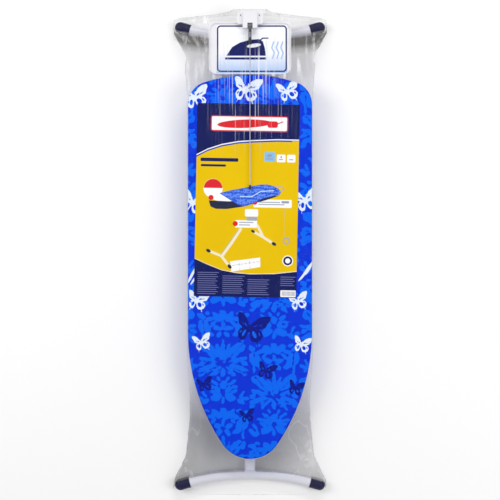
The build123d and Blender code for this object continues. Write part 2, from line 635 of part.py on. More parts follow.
def return_spring():
    start = LEVER_Y - 18
    return coil(5.6, 1.4, 8, 2, start, BAR_Z, BAR_X)


def release_cam():
    base = SLIDER_PIVOT_Y + CARRIAGE_Y[0]
    y = (base + 4.1, base + 15.9)
    sleeve = rod_y(CAM_RADIUS, BAR_X, y, BAR_Z)
    finger = block((23, BAR_X - 4), (base + 5, base + 13.2), (BAR_Z - 4.5, BAR_Z + 1))
    sleeve += fillet(finger.edges().filter_by(Axis.Z).group_by(Axis.X)[0], 2)
    bore = rod_y(BAR / 2 + CAM_CLEAR, BAR_X, y, BAR_Z)
    below = (BAR_Z - 6, BAR_Z - BAR_FLAT - CAM_CLEAR)
    return sleeve - (bore - block((BAR_X - 6, BAR_X + 6), y, below))


# ---------------------------------------------------------------- cord holder
def holder_swivel():
    knuckle = rod_x(SWIVEL_R, (-7.6, 7.6), SWIVEL_Y, SWIVEL_Z)
    knuckle += rod_y(3.6, 0, (COIL_Y[1] - 12, SWIVEL_Y - 2), SWIVEL_Z)
    return knuckle - rod_x(SWIVEL_PIN[0] + RUNNING, (-8, 8), SWIVEL_Y, SWIVEL_Z)


def holder_coil():
    diameter, wire, pitch = COIL
    length = COIL_Y[1] - COIL_Y[0] - wire
    return coil((diameter - wire) / 2, wire, length, pitch, COIL_Y[0] + wire / 2, SWIVEL_Z)


def holder_ferrule():
    body = rod_y(3.6, 0, (COIL_Y[0] - 9, COIL_Y[0] + 12), SWIVEL_Z)
    body += rod_y(5, 0, (COIL_Y[0] - 9, COIL_Y[0] - 0.3), SWIVEL_Z)
    return body - holder_rod()


def holder_rod():
    return rod_y(CORD_ROD / 2, 0, (ROD_TIP_Y, COIL_Y[0]), SWIVEL_Z)


def cord_clip():
    y = (ROD_TIP_Y - 10, ROD_TIP_Y + 4)
    clip = rod_y(3.2, 0, y, SWIVEL_Z)
    clip -= holder_rod()
    return clip - block((-4, 4), (y[0] + 2, y[0] + 6), (SWIVEL_Z, SWIVEL_Z + 4))


# ---------------------------------------------------------------- packaging
def insert_card():
    low = COVER_TOP
    card = Pos(*CARD_CENTRE, low + CARD[2] / 2) * Rot(0, 0, CARD_TURN) * Box(*CARD)
    return card


def cover_half(y):
    """Half the cover's width at a place along the board."""
    line = Line((-2 * BOARD_HALF, y), (2 * BOARD_HALF, y))
    return (board_face(COVER_GROW) & line).bounding_box().max.X


def film_stations():
    """Sections along the film, each with its Y, half width at the floor, height of the side,
    half width of the top, height of the top's edge and height of its middle."""
    side = BOARD_HALF + COVER_GROW + FILM_SLACK
    top = COVER_TOP + 2.6
    shoulder = COVER_TOP - 1.5
    foot = FOOT_HALF_SPAN + FILM_SLACK + 2
    foot_top = LEG_Z + CAP_RADIUS + 2
    peak = HOLDER_Z[1] + FILM_SLACK
    ridge = SWIVEL_Z + COIL[0] / 2 + 1.5
    nose = TAPER_APEX_Y + NOSE_APEX_GAP - COVER_GROW
    end = FILM_HALF_LENGTH
    bar = NOSE_FOOT_Y
    stations = [
        (-end, foot, foot_top, foot - 45, foot_top + 0.5, foot_top + 0.5),
        (bar - 17, foot - 2, foot_top, 90, foot_top + 2, foot_top + 4),
        (nose - 4, 0.84 * foot, foot_top, 38, top, top + 1),
    ]
    waist = ((25, foot_top, 2.5), (70, 39, -3), (130, 42, -8), (200, 48, -8), (270, 54, -2))
    for place, low, draw in waist:
        y = nose + place
        half = cover_half(y)
        stations.append((y, max(side + draw, half + 6), low, half + 5, top, top + 1))
    tail = TAIL_Y + COVER_GROW
    stations += [
        (nose + 350, side, shoulder, side - 2, top, top + 2),
        (ROD_TIP_Y - 20, side, shoulder, side - 2, top, ridge),
        (tail - 120, side, shoulder, side - 2, top, ridge),
        (tail - 85, side, shoulder - 6, cover_half(tail - 85) + 5, top, ridge),
        (tail - 45, side + 1, 70, cover_half(tail - 45) + 7, top, ridge + 0.5),
        (tail + 4, side + 5, 50, 0.82 * side, top, ridge + 1),
        (REST_Y[0] + 90, 0.9 * foot, foot_top + 1, REST_HALF + 14, top, ridge + 2),
        (HOLDER_Y[0] - 2, foot, foot_top + 1, REST_HALF + 12, top + 1, peak),
        (TAIL_FOOT_Y + FOOT_BOW + 17, foot, foot_top + 1, 75, peak, peak),
        (end, LOBE[0] + 16, foot_top + 1, LOBE[0] + 10, peak, peak),
    ]
    return stations


def film_body(inset, low):
    """The filled shape of the film, taken in by the given amount."""
    sections = []
    stations = film_stations()
    last = len(stations) - 1
    for place, (y, half, side, top_half, edge, middle) in enumerate(stations):
        if place in (0, last):
            y += inset if place == 0 else -inset
        half -= inset
        side -= inset
        right = [(half, low), (half, side), (top_half - inset, edge - inset)]
        left = [(-x, z) for x, z in reversed(right)]
        corners = right + [(0, middle - inset)] + left
        sections.append(make_face(Polyline(*[(x, y, z) for x, z in corners], close=True)))
    return loft(sections, ruled=True)


def film_wrap():
    """The film, open underneath, with the slit above the cord rod."""
    slit_y = (ROD_TIP_Y - 15, SWIVEL_Y + 14)
    slit = block((-FILM_SLIT, FILM_SLIT), slit_y, (COVER_TOP + 1, HOLDER_Z[1] + 50))
    return film_body(0, 1.0) - film_body(FILM, 0.0) - slit


# ---------------------------------------------------------------- write the parts
def main():
    os.makedirs("parts", exist_ok=True)
    nodes = {
        "board_core": board_core(),
        "felt_pad": slab(board_face(0), (CORE_TOP, FELT_TOP)),
        "cover": cover(),
        "hem_elastic": hem_elastic(),
        "spine_plate": spine_plate(),
        "spine_screws": spine_screws(),
        "bracket_screws": bracket_screws(),
        "rear_bracket": rear_bracket(),
        "rear_pivot_pin": rear_pivot_pin(),
        "guide_rod": guide_rod(),
        "guide_rod_brackets": guide_rod_brackets(),
        "bar_bearings": bar_bearings(),
        "return_spring": return_spring(),
        "rest_tray": rest_tray(),
        "rest_sticker": rest_sticker(),
        "rest_arms": rest_arms(),
        "rest_screws": rest_screws(),
        "cord_holder_clamp": cord_holder_clamp(),
        "clamp_screw": clamp_screw(),
        "swivel_pin": swivel_pin(),
        "insert_card": insert_card(),
        "film_wrap": film_wrap(),
        "inner_leg_tube": inner_leg_tube(),
        "inner_leg_plug": inner_leg_plug(),
        "inner_leg_bush": inner_leg_bush(),
        "cross_bush": cross_bush(),
        "nose_foot_bar": foot_bar(-1, NOSE_FOOT_Y),
        "nose_foot_caps": foot_caps(-1, NOSE_FOOT_Y),
        "outer_leg_tubes": outer_leg_tubes(),
        "outer_leg_plugs": outer_leg_plugs(),
        "outer_leg_bushes": outer_leg_bushes(),
        "cross_pin": cross_pin(),
        "tail_foot_bar": foot_bar(1, TAIL_FOOT_Y),
        "tail_foot_caps": foot_caps(1, TAIL_FOOT_Y),
        "slider_carriage": slider_carriage(),
        "slider_bushes": slider_bushes(),
        "slider_pins": slider_pins(),
        "clamp_plate": clamp_plate(),
        "clamp_spring": clamp_spring(),
        "release_bar": release_bar(),
        "release_lever": release_lever(),
        "release_cam": release_cam(),
        "holder_swivel": holder_swivel(),
        "holder_coil": holder_coil(),
        "holder_ferrule": holder_ferrule(),
        "holder_rod": holder_rod(),
        "cord_clip": cord_clip(),
    }
    for name, shape in nodes.items():
        save(name, shape)
    print(f"{len(nodes)} nodes")


main()
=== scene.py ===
# %% [markdown]
# # A folding ironing board in its shop film
#
# The board lies folded on its feet: its legs are flat beneath it, its printed cover is on top, and
# a card and a clear film lie over everything. The CAD model gives every hard part its shape and
# place. This notebook adds the finishes, and the three soft or thin things that CAD keeps plain:
# the cotton cover, the printed card and the shrink film.

# %% Load the frame
import json
import math

import bmesh
import bpy
import numpy as np
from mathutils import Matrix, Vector
from mathutils.bvhtree import BVHTree
from mathutils.geometry import delaunay_2d_cdt


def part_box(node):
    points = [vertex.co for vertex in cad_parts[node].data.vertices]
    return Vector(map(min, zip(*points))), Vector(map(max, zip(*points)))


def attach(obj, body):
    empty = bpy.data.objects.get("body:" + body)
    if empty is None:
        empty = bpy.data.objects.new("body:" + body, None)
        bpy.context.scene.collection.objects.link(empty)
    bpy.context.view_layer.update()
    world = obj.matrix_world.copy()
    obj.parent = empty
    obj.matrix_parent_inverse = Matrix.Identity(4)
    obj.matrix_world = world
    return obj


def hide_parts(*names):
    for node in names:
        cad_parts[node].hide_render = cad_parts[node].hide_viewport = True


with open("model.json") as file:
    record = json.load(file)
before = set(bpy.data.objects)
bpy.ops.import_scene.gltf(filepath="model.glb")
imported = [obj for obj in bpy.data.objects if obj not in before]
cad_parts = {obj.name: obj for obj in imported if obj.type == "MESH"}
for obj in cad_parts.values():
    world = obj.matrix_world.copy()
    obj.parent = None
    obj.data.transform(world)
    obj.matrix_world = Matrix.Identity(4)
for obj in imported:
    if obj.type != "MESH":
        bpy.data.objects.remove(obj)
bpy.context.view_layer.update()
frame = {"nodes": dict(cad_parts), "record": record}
nodes = frame["nodes"]
MM = 0.001

# %% [markdown]
# ## The camera first
#
# The camera looks straight down on the board, with the tail at the top of the picture. A long lens
# from far away keeps the board's sides nearly parallel, as in a catalogue picture. The view's
# width at the height of the ironing face decides the lens.

# %% Camera
COVER_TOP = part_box("cover")[1][2]
EYE_HEIGHT = 3.5
VIEW_WIDTH = 1.56
VIEW_CENTRE_Y = 0.013
camera = bpy.data.objects.new("camera", bpy.data.cameras.new("camera"))
bpy.context.collection.objects.link(camera)
camera.location = (0, VIEW_CENTRE_Y, COVER_TOP + EYE_HEIGHT)
camera.data.sensor_width = 36
camera.data.lens = camera.data.sensor_width * EYE_HEIGHT / VIEW_WIDTH
bpy.context.scene.camera = camera
print("lens", round(camera.data.lens, 1), "mm")

# %% [markdown]
# ## Floor and light
#
# The floor is a wide pale sheet. Two large soft lamps and one narrow strip stand around the board:
# the soft ones light the cloth evenly, and the strip gives the film its long highlights. A pale
# world fills the shadows, so nothing is darker than a studio shot would show it.

# %% Floor
floor_mesh = bpy.data.meshes.new("floor")
REACH = 6.0
FLOOR_DROP = 0.0006
corners = [(-REACH, -REACH), (REACH, -REACH), (REACH, REACH), (-REACH, REACH)]
floor_mesh.from_pydata([(x, y, -FLOOR_DROP) for x, y in corners], [], [(0, 1, 2, 3)])
floor = bpy.data.objects.new("floor", floor_mesh)
bpy.context.collection.objects.link(floor)
print("floor", 2 * REACH, "m wide")


# %% Lamps
def soft_lamp(name, place, size, watts, target=(0, 0, 0.05)):
    data = bpy.data.lights.new(name, "AREA")
    data.shape = "RECTANGLE"
    data.size, data.size_y = size
    data.energy = watts
    lamp = bpy.data.objects.new(name, data)
    bpy.context.collection.objects.link(lamp)
    lamp.location = place
    lamp.rotation_euler = (Vector(target) - Vector(place)).to_track_quat("-Z", "Y").to_euler()
    return lamp


soft_lamp("left_lamp", (-2.6, 0.8, 2.6), (1.6, 2.2), 50)
soft_lamp("right_lamp", (2.6, -0.4, 2.6), (1.6, 2.2), 40)
soft_lamp("strip_lamp", (0.5, 2.6, 2.2), (2.4, 0.3), 26)
world = bpy.data.worlds.new("studio")
world.use_nodes = True
world.node_tree.nodes["Background"].inputs["Color"].default_value = (1, 1, 1, 1)
world.node_tree.nodes["Background"].inputs["Strength"].default_value = 0.55
bpy.context.scene.world = world
bpy.context.scene.view_settings.view_transform = "Standard"
print("three lamps and a pale world")

# %% [markdown]
# ## Helpers for materials
#
# Every finish here is a Principled shader fed by a few procedural nodes. `Finish` keeps a
# material's node tree at hand, so that each finish below is only a few lines: some noise that
# varies its colour and roughness, and a bump at the real scale of its grain. Object coordinates
# are in metres, so a noise scale of 400 means features of about 2.5 mm.


# %% Finish: a material and its node tree
class Finish:
    def __init__(self, name, colour, roughness, metallic=0.0):
        self.material = bpy.data.materials.new(name)
        self.material.use_nodes = True
        self.tree = self.material.node_tree
        self.shader = self.tree.nodes["Principled BSDF"]
        self.set("Base Color", (*colour, 1))
        self.set("Roughness", roughness)
        self.set("Metallic", metallic)
        self.place = self.add("ShaderNodeTexCoord").outputs["Object"]

    def add(self, kind, **settings):
        node = self.tree.nodes.new(kind)
        for key, value in settings.items():
            setattr(node, key, value)
        return node

    def set(self, socket, value):
        self.shader.inputs[socket].default_value = value

    def link(self, output, target):
        target = self.shader.inputs[target] if isinstance(target, str) else target
        self.tree.links.new(output, target)

    def stretched(self, scale):
        """Object coordinates, stretched differently along each axis."""
        node = self.add("ShaderNodeMapping")
        node.inputs["Scale"].default_value = scale
        self.link(self.place, node.inputs["Vector"])
        return node.outputs["Vector"]

    def noise(self, scale, detail=3.0, along=(1, 1, 1)):
        node = self.add("ShaderNodeTexNoise")
        node.inputs["Scale"].default_value = scale
        node.inputs["Detail"].default_value = detail
        self.link(self.stretched(along), node.inputs["Vector"])
        return node.outputs["Fac"]

    def cells(self, scale, feature="F1", along=(1, 1, 1)):
        node = self.add("ShaderNodeTexVoronoi", feature=feature)
        node.inputs["Scale"].default_value = scale
        self.link(self.stretched(along), node.inputs["Vector"])
        return node.outputs["Distance"]

    def ribs(self, scale, axis="X", distortion=0.0):
        node = self.add("ShaderNodeTexWave", bands_direction=axis)
        node.inputs["Scale"].default_value = scale
        node.inputs["Distortion"].default_value = distortion
        self.link(self.place, node.inputs["Vector"])
        return node.outputs["Fac"]

    def sum(self, first, second, operation="ADD"):
        node = self.add("ShaderNodeMath", operation=operation)
        for value, socket in ((first, node.inputs[0]), (second, node.inputs[1])):
            if isinstance(value, (int, float)):
                socket.default_value = value
            else:
                self.link(value, socket)
        return node.outputs[0]

    def spread(self, value, low, high, start=0.0, end=1.0):
        """Maps a value's range onto another."""
        node = self.add("ShaderNodeMapRange")
        names = ("From Min", "From Max", "To Min", "To Max")
        for socket, number in zip(names, (start, end, low, high)):
            node.inputs[socket].default_value = number
        self.link(value, node.inputs["Value"])
        return node.outputs["Result"]

    def blend(self, factor, first, second):
        """A colour between two, each a colour or an output."""
        node = self.add("ShaderNodeMix", data_type="RGBA")
        self.link(factor, node.inputs["Factor"])
        for value, socket in ((first, node.inputs["A"]), (second, node.inputs["B"])):
            if isinstance(value, tuple):
                socket.default_value = (*value, 1)
            else:
                self.link(value, socket)
        return node.outputs["Result"]

    def attribute(self, name):
        return self.add("ShaderNodeAttribute", attribute_name=name).outputs["Fac"]

    def bump(self, height, distance, strength=1.0):
        node = self.add("ShaderNodeBump")
        node.inputs["Distance"].default_value = distance
        node.inputs["Strength"].default_value = strength
        self.link(height, node.inputs["Height"])
        self.link(node.outputs["Normal"], "Normal")


def varied(finish, noise_scale, dark, light, rough_low, rough_high):
    """Varies a finish's colour and roughness with one slow noise."""
    slow = finish.noise(noise_scale, 4.0)
    finish.link(finish.blend(slow, dark, light), "Base Color")
    finish.link(finish.spread(slow, rough_low, rough_high), "Roughness")


print("finish helper ready")

# %% [markdown]
# ## Hard finishes
#
# Powder-coated tube has the fine orange peel of baked powder. Moulded plastic has a faint spark
# texture and a slow change of gloss. Zinc plate is a cool grey with cloudy patches, and drawn
# steel has fine streaks along its length. The foam is fused from beads a few millimetres across,
# which a Voronoi pattern copies well.


# %% Metal finishes
def powder_coat():
    f = Finish("white_powder_coat", (0.68, 0.68, 0.75), 0.3)
    varied(f, 9, (0.64, 0.65, 0.72), (0.72, 0.72, 0.79), 0.26, 0.4)
    f.bump(f.noise(900, 2.0), 0.00012, 0.35)
    f.set("Coat Weight", 0.25)
    f.set("Coat Roughness", 0.18)
    return f.material


def zinc_plate():
    f = Finish("zinc_plate", (0.6, 0.62, 0.65), 0.35, 1.0)
    varied(f, 45, (0.5, 0.52, 0.56), (0.72, 0.73, 0.74), 0.28, 0.46)
    f.bump(f.noise(700, 4.0), 0.0001, 0.4)
    return f.material


def drawn_steel(name, dark, light, roughness):
    f = Finish(name, light, roughness, 1.0)
    streaks = f.noise(120, 3.0, along=(1, 0.03, 1))
    f.link(f.blend(streaks, dark, light), "Base Color")
    f.link(f.spread(streaks, roughness - 0.05, roughness + 0.1), "Roughness")
    f.bump(streaks, 0.00004, 0.2)
    return f.material


metals = {
    "white_paint": powder_coat(),
    "zinc_steel": zinc_plate(),
    "bright_steel": drawn_steel("bright_steel", (0.36, 0.37, 0.4), (0.52, 0.53, 0.57), 0.42),
    "spring_steel": drawn_steel("spring_steel", (0.06, 0.06, 0.09), (0.2, 0.2, 0.26), 0.28),
}
print("metals", list(metals))


# %% Plastic and foam finishes
def moulded(name, dark, light, roughness, gloss=0.5, grain=0.00012):
    f = Finish(name, light, roughness)
    f.set("Specular IOR Level", gloss)
    varied(f, 22, dark, light, roughness - 0.05, roughness + 0.1)
    f.bump(f.sum(f.noise(1600, 2.0), f.noise(160, 3.0)), grain, 0.45)
    return f.material


def bead_foam():
    f = Finish("bead_foam", (0.07, 0.07, 0.085), 0.8)
    beads = f.cells(260)
    f.link(f.blend(f.spread(beads, 0, 1, 0, 0.6), (0.1, 0.1, 0.12), (0.035, 0.035, 0.045)), "Base Color")
    f.bump(f.spread(beads, 1, 0, 0, 0.8), 0.0006, 0.8)
    return f.material


def felt():
    f = Finish("white_felt", (0.8, 0.8, 0.78), 0.95)
    fibres = f.sum(f.noise(500, 5.0, along=(1, 0.2, 1)), f.noise(450, 5.0, along=(0.2, 1, 1)))
    f.link(f.blend(f.spread(fibres, 0, 1, 0.6, 1.4), (0.7, 0.7, 0.68), (0.86, 0.86, 0.85)), "Base Color")
    f.bump(fibres, 0.0006, 0.7)
    return f.material


def ribbed_elastic():
    f = Finish("ribbed_elastic", (0.85, 0.85, 0.86), 0.85)
    ribs = f.ribs(160, "DIAGONAL")
    f.link(f.blend(ribs, (0.7, 0.7, 0.72), (0.9, 0.9, 0.9)), "Base Color")
    f.bump(ribs, 0.0004, 0.8)
    return f.material


plastics = {
    "white_plastic": moulded("white_plastic", (0.74, 0.74, 0.78), (0.81, 0.81, 0.85), 0.33),
    "grey_plastic": moulded("grey_plastic", (0.1, 0.1, 0.12), (0.16, 0.16, 0.19), 0.5),
    "navy_plastic": moulded("navy_plastic", (0.006, 0.006, 0.035), (0.012, 0.012, 0.062), 0.42, 0.25),
    "black_plastic": moulded("black_plastic", (0.01, 0.01, 0.011), (0.022, 0.022, 0.024), 0.42),
    "foam": bead_foam(),
    "felt": felt(),
    "elastic": ribbed_elastic(),
}
print("plastics and foam", list(plastics))

# %% Give every carried-over CAD node its finish
slot_of = {part["node"]: part["material_slot"] for part in frame["record"]["subparts"]}
finishes = {**metals, **plastics}
for name, obj in nodes.items():
    if slot_of[name] in finishes:
        obj.data.materials.clear()
        obj.data.materials.append(finishes[slot_of[name]])
print(sum(slot_of[name] in finishes for name in nodes), "CAD nodes finished")


# %% Floor finish
def paper_floor():
    f = Finish("paper_floor", (0.93, 0.93, 0.93), 0.9)
    f.link(f.blend(f.noise(3, 2.0), (0.925, 0.925, 0.93), (0.935, 0.935, 0.935)), "Base Color")
    f.set("Specular IOR Level", 0.1)
    return f.material


floor.data.materials.append(paper_floor())
print("floor finished")

# %% [markdown]
# ## Printing with distance fields
#
# The cover, the card and the sticker are printed. An image would be the quick way to print them,
# but a drawing made by formulas stays sharp at any size. Each ink is a *distance field*: for every
# vertex it says how far inside (positive) or outside (negative) the ink's edge lies, in
# millimetres. The shader turns that into a crisp edge, which runs smoothly between vertices, so
# a mesh with vertices 2 mm apart prints lines much sharper than 2 mm.


# %% Shapes as distance fields, in millimetres
def disc(x, y, cx, cy, radius):
    return radius - np.hypot(x - cx, y - cy)


def bar(x, y, left, low, right, high, corner=0.0):
    dx = np.abs(x - (left + right) / 2) - (right - left) / 2 + corner
    dy = np.abs(y - (low + high) / 2) - (high - low) / 2 + corner
    outside = np.hypot(np.maximum(dx, 0), np.maximum(dy, 0))
    return corner - outside - np.minimum(np.maximum(dx, dy), 0)


def leaf(x, y, cx, cy, long, wide, degrees=0.0):
    """An ellipse with half sizes long and wide, its long side at an angle."""
    c, s = math.cos(math.radians(degrees)), math.sin(math.radians(degrees))
    along = (x - cx) * c + (y - cy) * s
    across = (y - cy) * c - (x - cx) * s
    return (1 - np.hypot(along / long, across / wide)) * min(long, wide)


def stroke(x, y, points, width):
    """A line of round-ended strokes."""
    nearest = np.full(np.shape(x), 1e6)
    for (ax, ay), (bx, by) in zip(points, points[1:]):
        run = (bx - ax) ** 2 + (by - ay) ** 2
        t = np.clip(((x - ax) * (bx - ax) + (y - ay) * (by - ay)) / run, 0, 1)
        nearest = np.minimum(nearest, np.hypot(x - ax - t * (bx - ax), y - ay - t * (by - ay)))
    return width / 2 - nearest


def outline(x, y, points):
    """A filled polygon."""
    edge = -stroke(x, y, [*points, points[0]], 0)
    inside = np.zeros(np.shape(x), bool)
    for (ax, ay), (bx, by) in zip(points, [*points[1:], points[0]]):
        if ay != by:
            crosses = ((ay > y) != (by > y)) & (x < (bx - ax) * (y - ay) / (by - ay) + ax)
            inside ^= crosses
    return np.where(inside, edge, -edge)


def either(*fields):
    return np.maximum.reduce(fields)


print("fields: disc, bar, leaf, stroke, outline")


# %% Inks on a mesh and in a shader
def ink(mesh, name, field):
    """Stores a field as a vertex attribute."""
    store = mesh.attributes.new(name, "FLOAT", "POINT")
    store.data.foreach_set("value", np.asarray(field, np.float32))


def printed(finish, paper, inks, softness=0.35):
    """Lays the inks over the paper's colour in turn, each with a crisp edge."""
    colour = paper
    for name, shade in inks:
        edge = finish.spread(finish.attribute(name), 0, 1, -softness, softness)
        colour = finish.blend(edge, colour, shade)
    return colour


print("ink and printed ready")

# %% [markdown]
# ## The board's outline
#
# The cover and the film both follow the board's outline, so it is worked out once from the CAD
# box: straight sides, two tapers that a wide bend joins to the sides, a round nose, and a tail
# that bows out between two round corners. `half_width` gives half the board's width anywhere
# along it, and `rim` walks once around it.

# %% Outline sizes, in metres
(_, NOSE_Y, COVER_LOW), (HALF, TAIL_Y, _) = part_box("cover")
BOARD_HALF = 0.192
GROW = 0.002
TAPER_LENGTH = 0.3048
TAPER_TAN = BOARD_HALF / TAPER_LENGTH
TAPER = math.atan(TAPER_TAN)
CROWN_RISE = 0.040
NOSE_R = 0.102 + GROW
SHOULDER_R = 0.623 + GROW
CORNER_R = 0.070 + GROW
CROWN_R = (BOARD_HALF**2 + CROWN_RISE**2) / (2 * CROWN_RISE) + GROW
NOSE_C = NOSE_Y + NOSE_R
CROWN_C = TAIL_Y - CROWN_R
CORNER_X = HALF - CORNER_R
CORNER_C = CROWN_C + math.sqrt((CROWN_R - CORNER_R) ** 2 - CORNER_X**2)
NOSE_END = (NOSE_R * math.cos(TAPER), NOSE_C - NOSE_R * math.sin(TAPER))
APEX_Y = NOSE_C - NOSE_R / math.sin(TAPER)
BEND_Y = APEX_Y + HALF / TAPER_TAN + SHOULDER_R * math.tan(TAPER / 2)
BEND_X = HALF - SHOULDER_R
print("half width", round(HALF, 4), "nose radius", NOSE_R, "bend starts at", round(BEND_Y, 3))


# %% Walk around the outline
def arc(cx, cy, radius, start, end, steps):
    angles = np.radians(np.linspace(start, end, steps, endpoint=False))
    return np.column_stack([cx + radius * np.cos(angles), cy + radius * np.sin(angles)])


def straight(start, end, steps):
    t = np.linspace(0, 1, steps, endpoint=False)[:, None]
    return np.array(start) * (1 - t) + np.array(end) * t


def rim():
    """Points once around the board, counterclockwise from the nose's tip."""
    lean = math.degrees(TAPER)
    bend_end = (BEND_X + SHOULDER_R * math.cos(TAPER), BEND_Y - SHOULDER_R * math.sin(TAPER))
    crown = math.degrees(math.asin(CORNER_X / (CROWN_R - CORNER_R)))
    right = [
        arc(0, NOSE_C, NOSE_R, -90, -lean, 24),
        straight(NOSE_END, bend_end, 20),
        arc(BEND_X, BEND_Y, SHOULDER_R, -lean, 0, 32),
        straight((HALF, BEND_Y), (HALF, CORNER_C), 110),
        arc(CORNER_X, CORNER_C, CORNER_R, 0, 90 - crown, 22),
        arc(0, CROWN_C, CROWN_R, 90 - crown, 90, 22),
    ]
    right = np.vstack(right)
    left = (right * (-1, 1))[1:][::-1]
    return np.vstack([right, [(0, TAIL_Y)], left])


edge_points = rim()
print(len(edge_points), "points around the board")


def half_width(y):
    """Half the board's width at a place along it."""
    side = edge_points[: len(edge_points) // 2 + 1]
    order = np.argsort(side[:, 1])
    return np.interp(y, side[order, 1], side[order, 0], left=0.0, right=0.0)


# %% [markdown]
# ## The cover's print
#
# The cloth is printed in two blues with a damask: a tall motif that repeats down a column, with
# the next column shifted by two thirds of a repeat. Everything in a motif is a leaf shape, and the
# left half mirrors the right, so only one half is written down. White and dark butterflies are
# scattered over it, each with one wing drawn narrower, as if it were turned a little away.

# %% Damask motif: x, y, half length, half width and angle of each leaf, right half only
COLUMN_PITCH = 159.0
REPEAT = 305.0
DROP = 203.0
FIRST_COLUMN = (75.0, -140.0)
BURST = [
    (0, 44, 36, 7, 90), (13, 36, 27, 7, 74), (39, 43, 31, 15, 50), (60, 52, 14, 10, 75),
    (46, 12, 30, 8, 13), (66, 2, 12, 7, -30), (45, -13, 32, 11, -14), (66, -28, 12, 8, -50),
    (24, -24, 24, 8, -44), (0, -26, 15, 8, 90),
]
BLOSSOM = [
    (13, -48, 10, 4, 60), (27, -58, 14, 5, 30), (36, -72, 14, 5, 5), (0, -66, 13, 11, 90),
    (17, -80, 13, 9, 70), (32, -86, 12, 6, 20), (22, -103, 20, 12, -25), (0, -112, 11, 6, 90),
    (58, -96, 14, 5, 60), (70, -108, 10, 7, 20), (56, -116, 13, 8, -30),
]
FLOWER = [
    (0, 121, 14, 6, 90), (18, 112, 13, 8, 20), (13, 92, 12, 7, -48), (59, 116, 25, 18, 62),
    (46, 98, 18, 9, 35), (62, 84, 18, 4, 88), (0, 154, 20, 11, 90), (19, 148, 20, 10, 42),
    (38, 141, 16, 7, -8), (31, 127, 13, 6, -52), (68, 150, 13, 8, 30), (50, 160, 9, 5, 10),
]
VEINS = [(8, 6, 60, 62), (8, 2, 78, 12), (8, -4, 74, -30), (4, -10, 38, -44), (58, 92, 62, 134)]
print("leaves in a motif", len(BURST + BLOSSOM + FLOWER))


# %% Damask field
def damask(x, y):
    """The light blue of the damask, with its dark veins cut out."""
    wobble = 2.0 * np.sin(x / 5.3 + 1.7 * np.sin(y / 7.1)) * np.cos(y / 4.7 + np.sin(x / 6.1))
    print_field = np.full(x.shape, -20.0)
    first = math.floor((x.min() - FIRST_COLUMN[0]) / COLUMN_PITCH)
    last = math.ceil((x.max() - FIRST_COLUMN[0]) / COLUMN_PITCH)
    for column in range(first, last + 1):
        across = x - FIRST_COLUMN[0] - column * COLUMN_PITCH
        near = np.abs(across) < 0.56 * COLUMN_PITCH
        along = y[near] - FIRST_COLUMN[1] - column * DROP
        along = (along + 0.45 * REPEAT) % REPEAT - 0.45 * REPEAT
        side = np.abs(across[near])
        half = [leaf(side, along, *one) for one in BURST + BLOSSOM + FLOWER]
        veins = [stroke(side, along, [one[:2], one[2:]], 2.2) for one in VEINS]
        dot = disc(side, along, 0, -84, 5)
        eye = disc(side, along, 0, 104, 5)
        motif = np.minimum(either(*half), -either(*veins, dot, eye))
        print_field[near] = np.maximum(print_field[near], motif)
    return print_field + wobble


print("a damask column repeats every", REPEAT, "mm")

# %% Butterfly: one wing's outlines, and how much narrower each side is drawn
UPPER_WING = [
    (2, 6), (9, 21), (20, 36), (36, 46), (55, 48), (57, 37), (50, 24), (46, 11), (27, 2), (4, -2),
]
LOWER_WING = [(2, 0), (22, 4), (38, -3), (44, -16), (38, -31), (26, -38), (13, -37), (5, -24)]
TAIL_TIP = [(27, -32), (33, -48)]
DRAWN_SPAN = 108
LEFT_SQUEEZE, RIGHT_SQUEEZE = 1.35, 0.92


def butterfly(x, y, cx, cy, span, degrees, cells=1.0):
    """A butterfly with cut-out wing cells."""
    c, s = math.cos(math.radians(degrees)), math.sin(math.radians(degrees))
    u = ((x - cx) * c + (y - cy) * s) / span * DRAWN_SPAN
    v = ((y - cy) * c - (x - cx) * s) / span * DRAWN_SPAN
    side = np.abs(u) * np.where(u < 0, LEFT_SQUEEZE, RIGHT_SQUEEZE)
    wings = [outline(side, v, UPPER_WING), outline(side, v, LOWER_WING), stroke(side, v, TAIL_TIP, 3)]
    holes = either(
        leaf(side, v, 17, 12, 8, 2.8 * cells, 42), leaf(side, v, 30, 15, 9, 1.9 * cells, 30),
        leaf(side, v, 18, -15, 12, 8.5 * cells, -60), leaf(side, v, 33, -12, 7, 3 * cells, -60),
    )
    body = leaf(side, v, 0, 0, 15, 3, 90)
    feelers = stroke(side, v, [(1, 10), (9, 26)], 1.6)
    return either(np.minimum(either(*wings), -holes), body, feelers) * span / 100


print("a wing has", len(UPPER_WING) + len(LOWER_WING), "corners")

# %% [markdown]
# ## The cover
#
# The real cover is one piece of cotton, pulled over the felt by elastic in its hem. A box with
# rounded edges would look like hard plastic. Here the top is a fine triangulated sheet inside the
# outline, with slow small waves of a stretched cloth, and a rim of rings carries it around the edge,
# down the side and under the board to the hem, where the elastic gathers it into small pleats.

# %% Cover shape
GRID = 0.0024
EDGE_ROUND = 0.006
HEM_IN = 0.032


def normals_of(points):
    """Unit vectors that point out of a closed outline."""
    ahead = np.roll(points, -1, axis=0) - np.roll(points, 1, axis=0)
    out = np.column_stack([ahead[:, 1], -ahead[:, 0]])
    return out / np.linalg.norm(out, axis=1)[:, None]


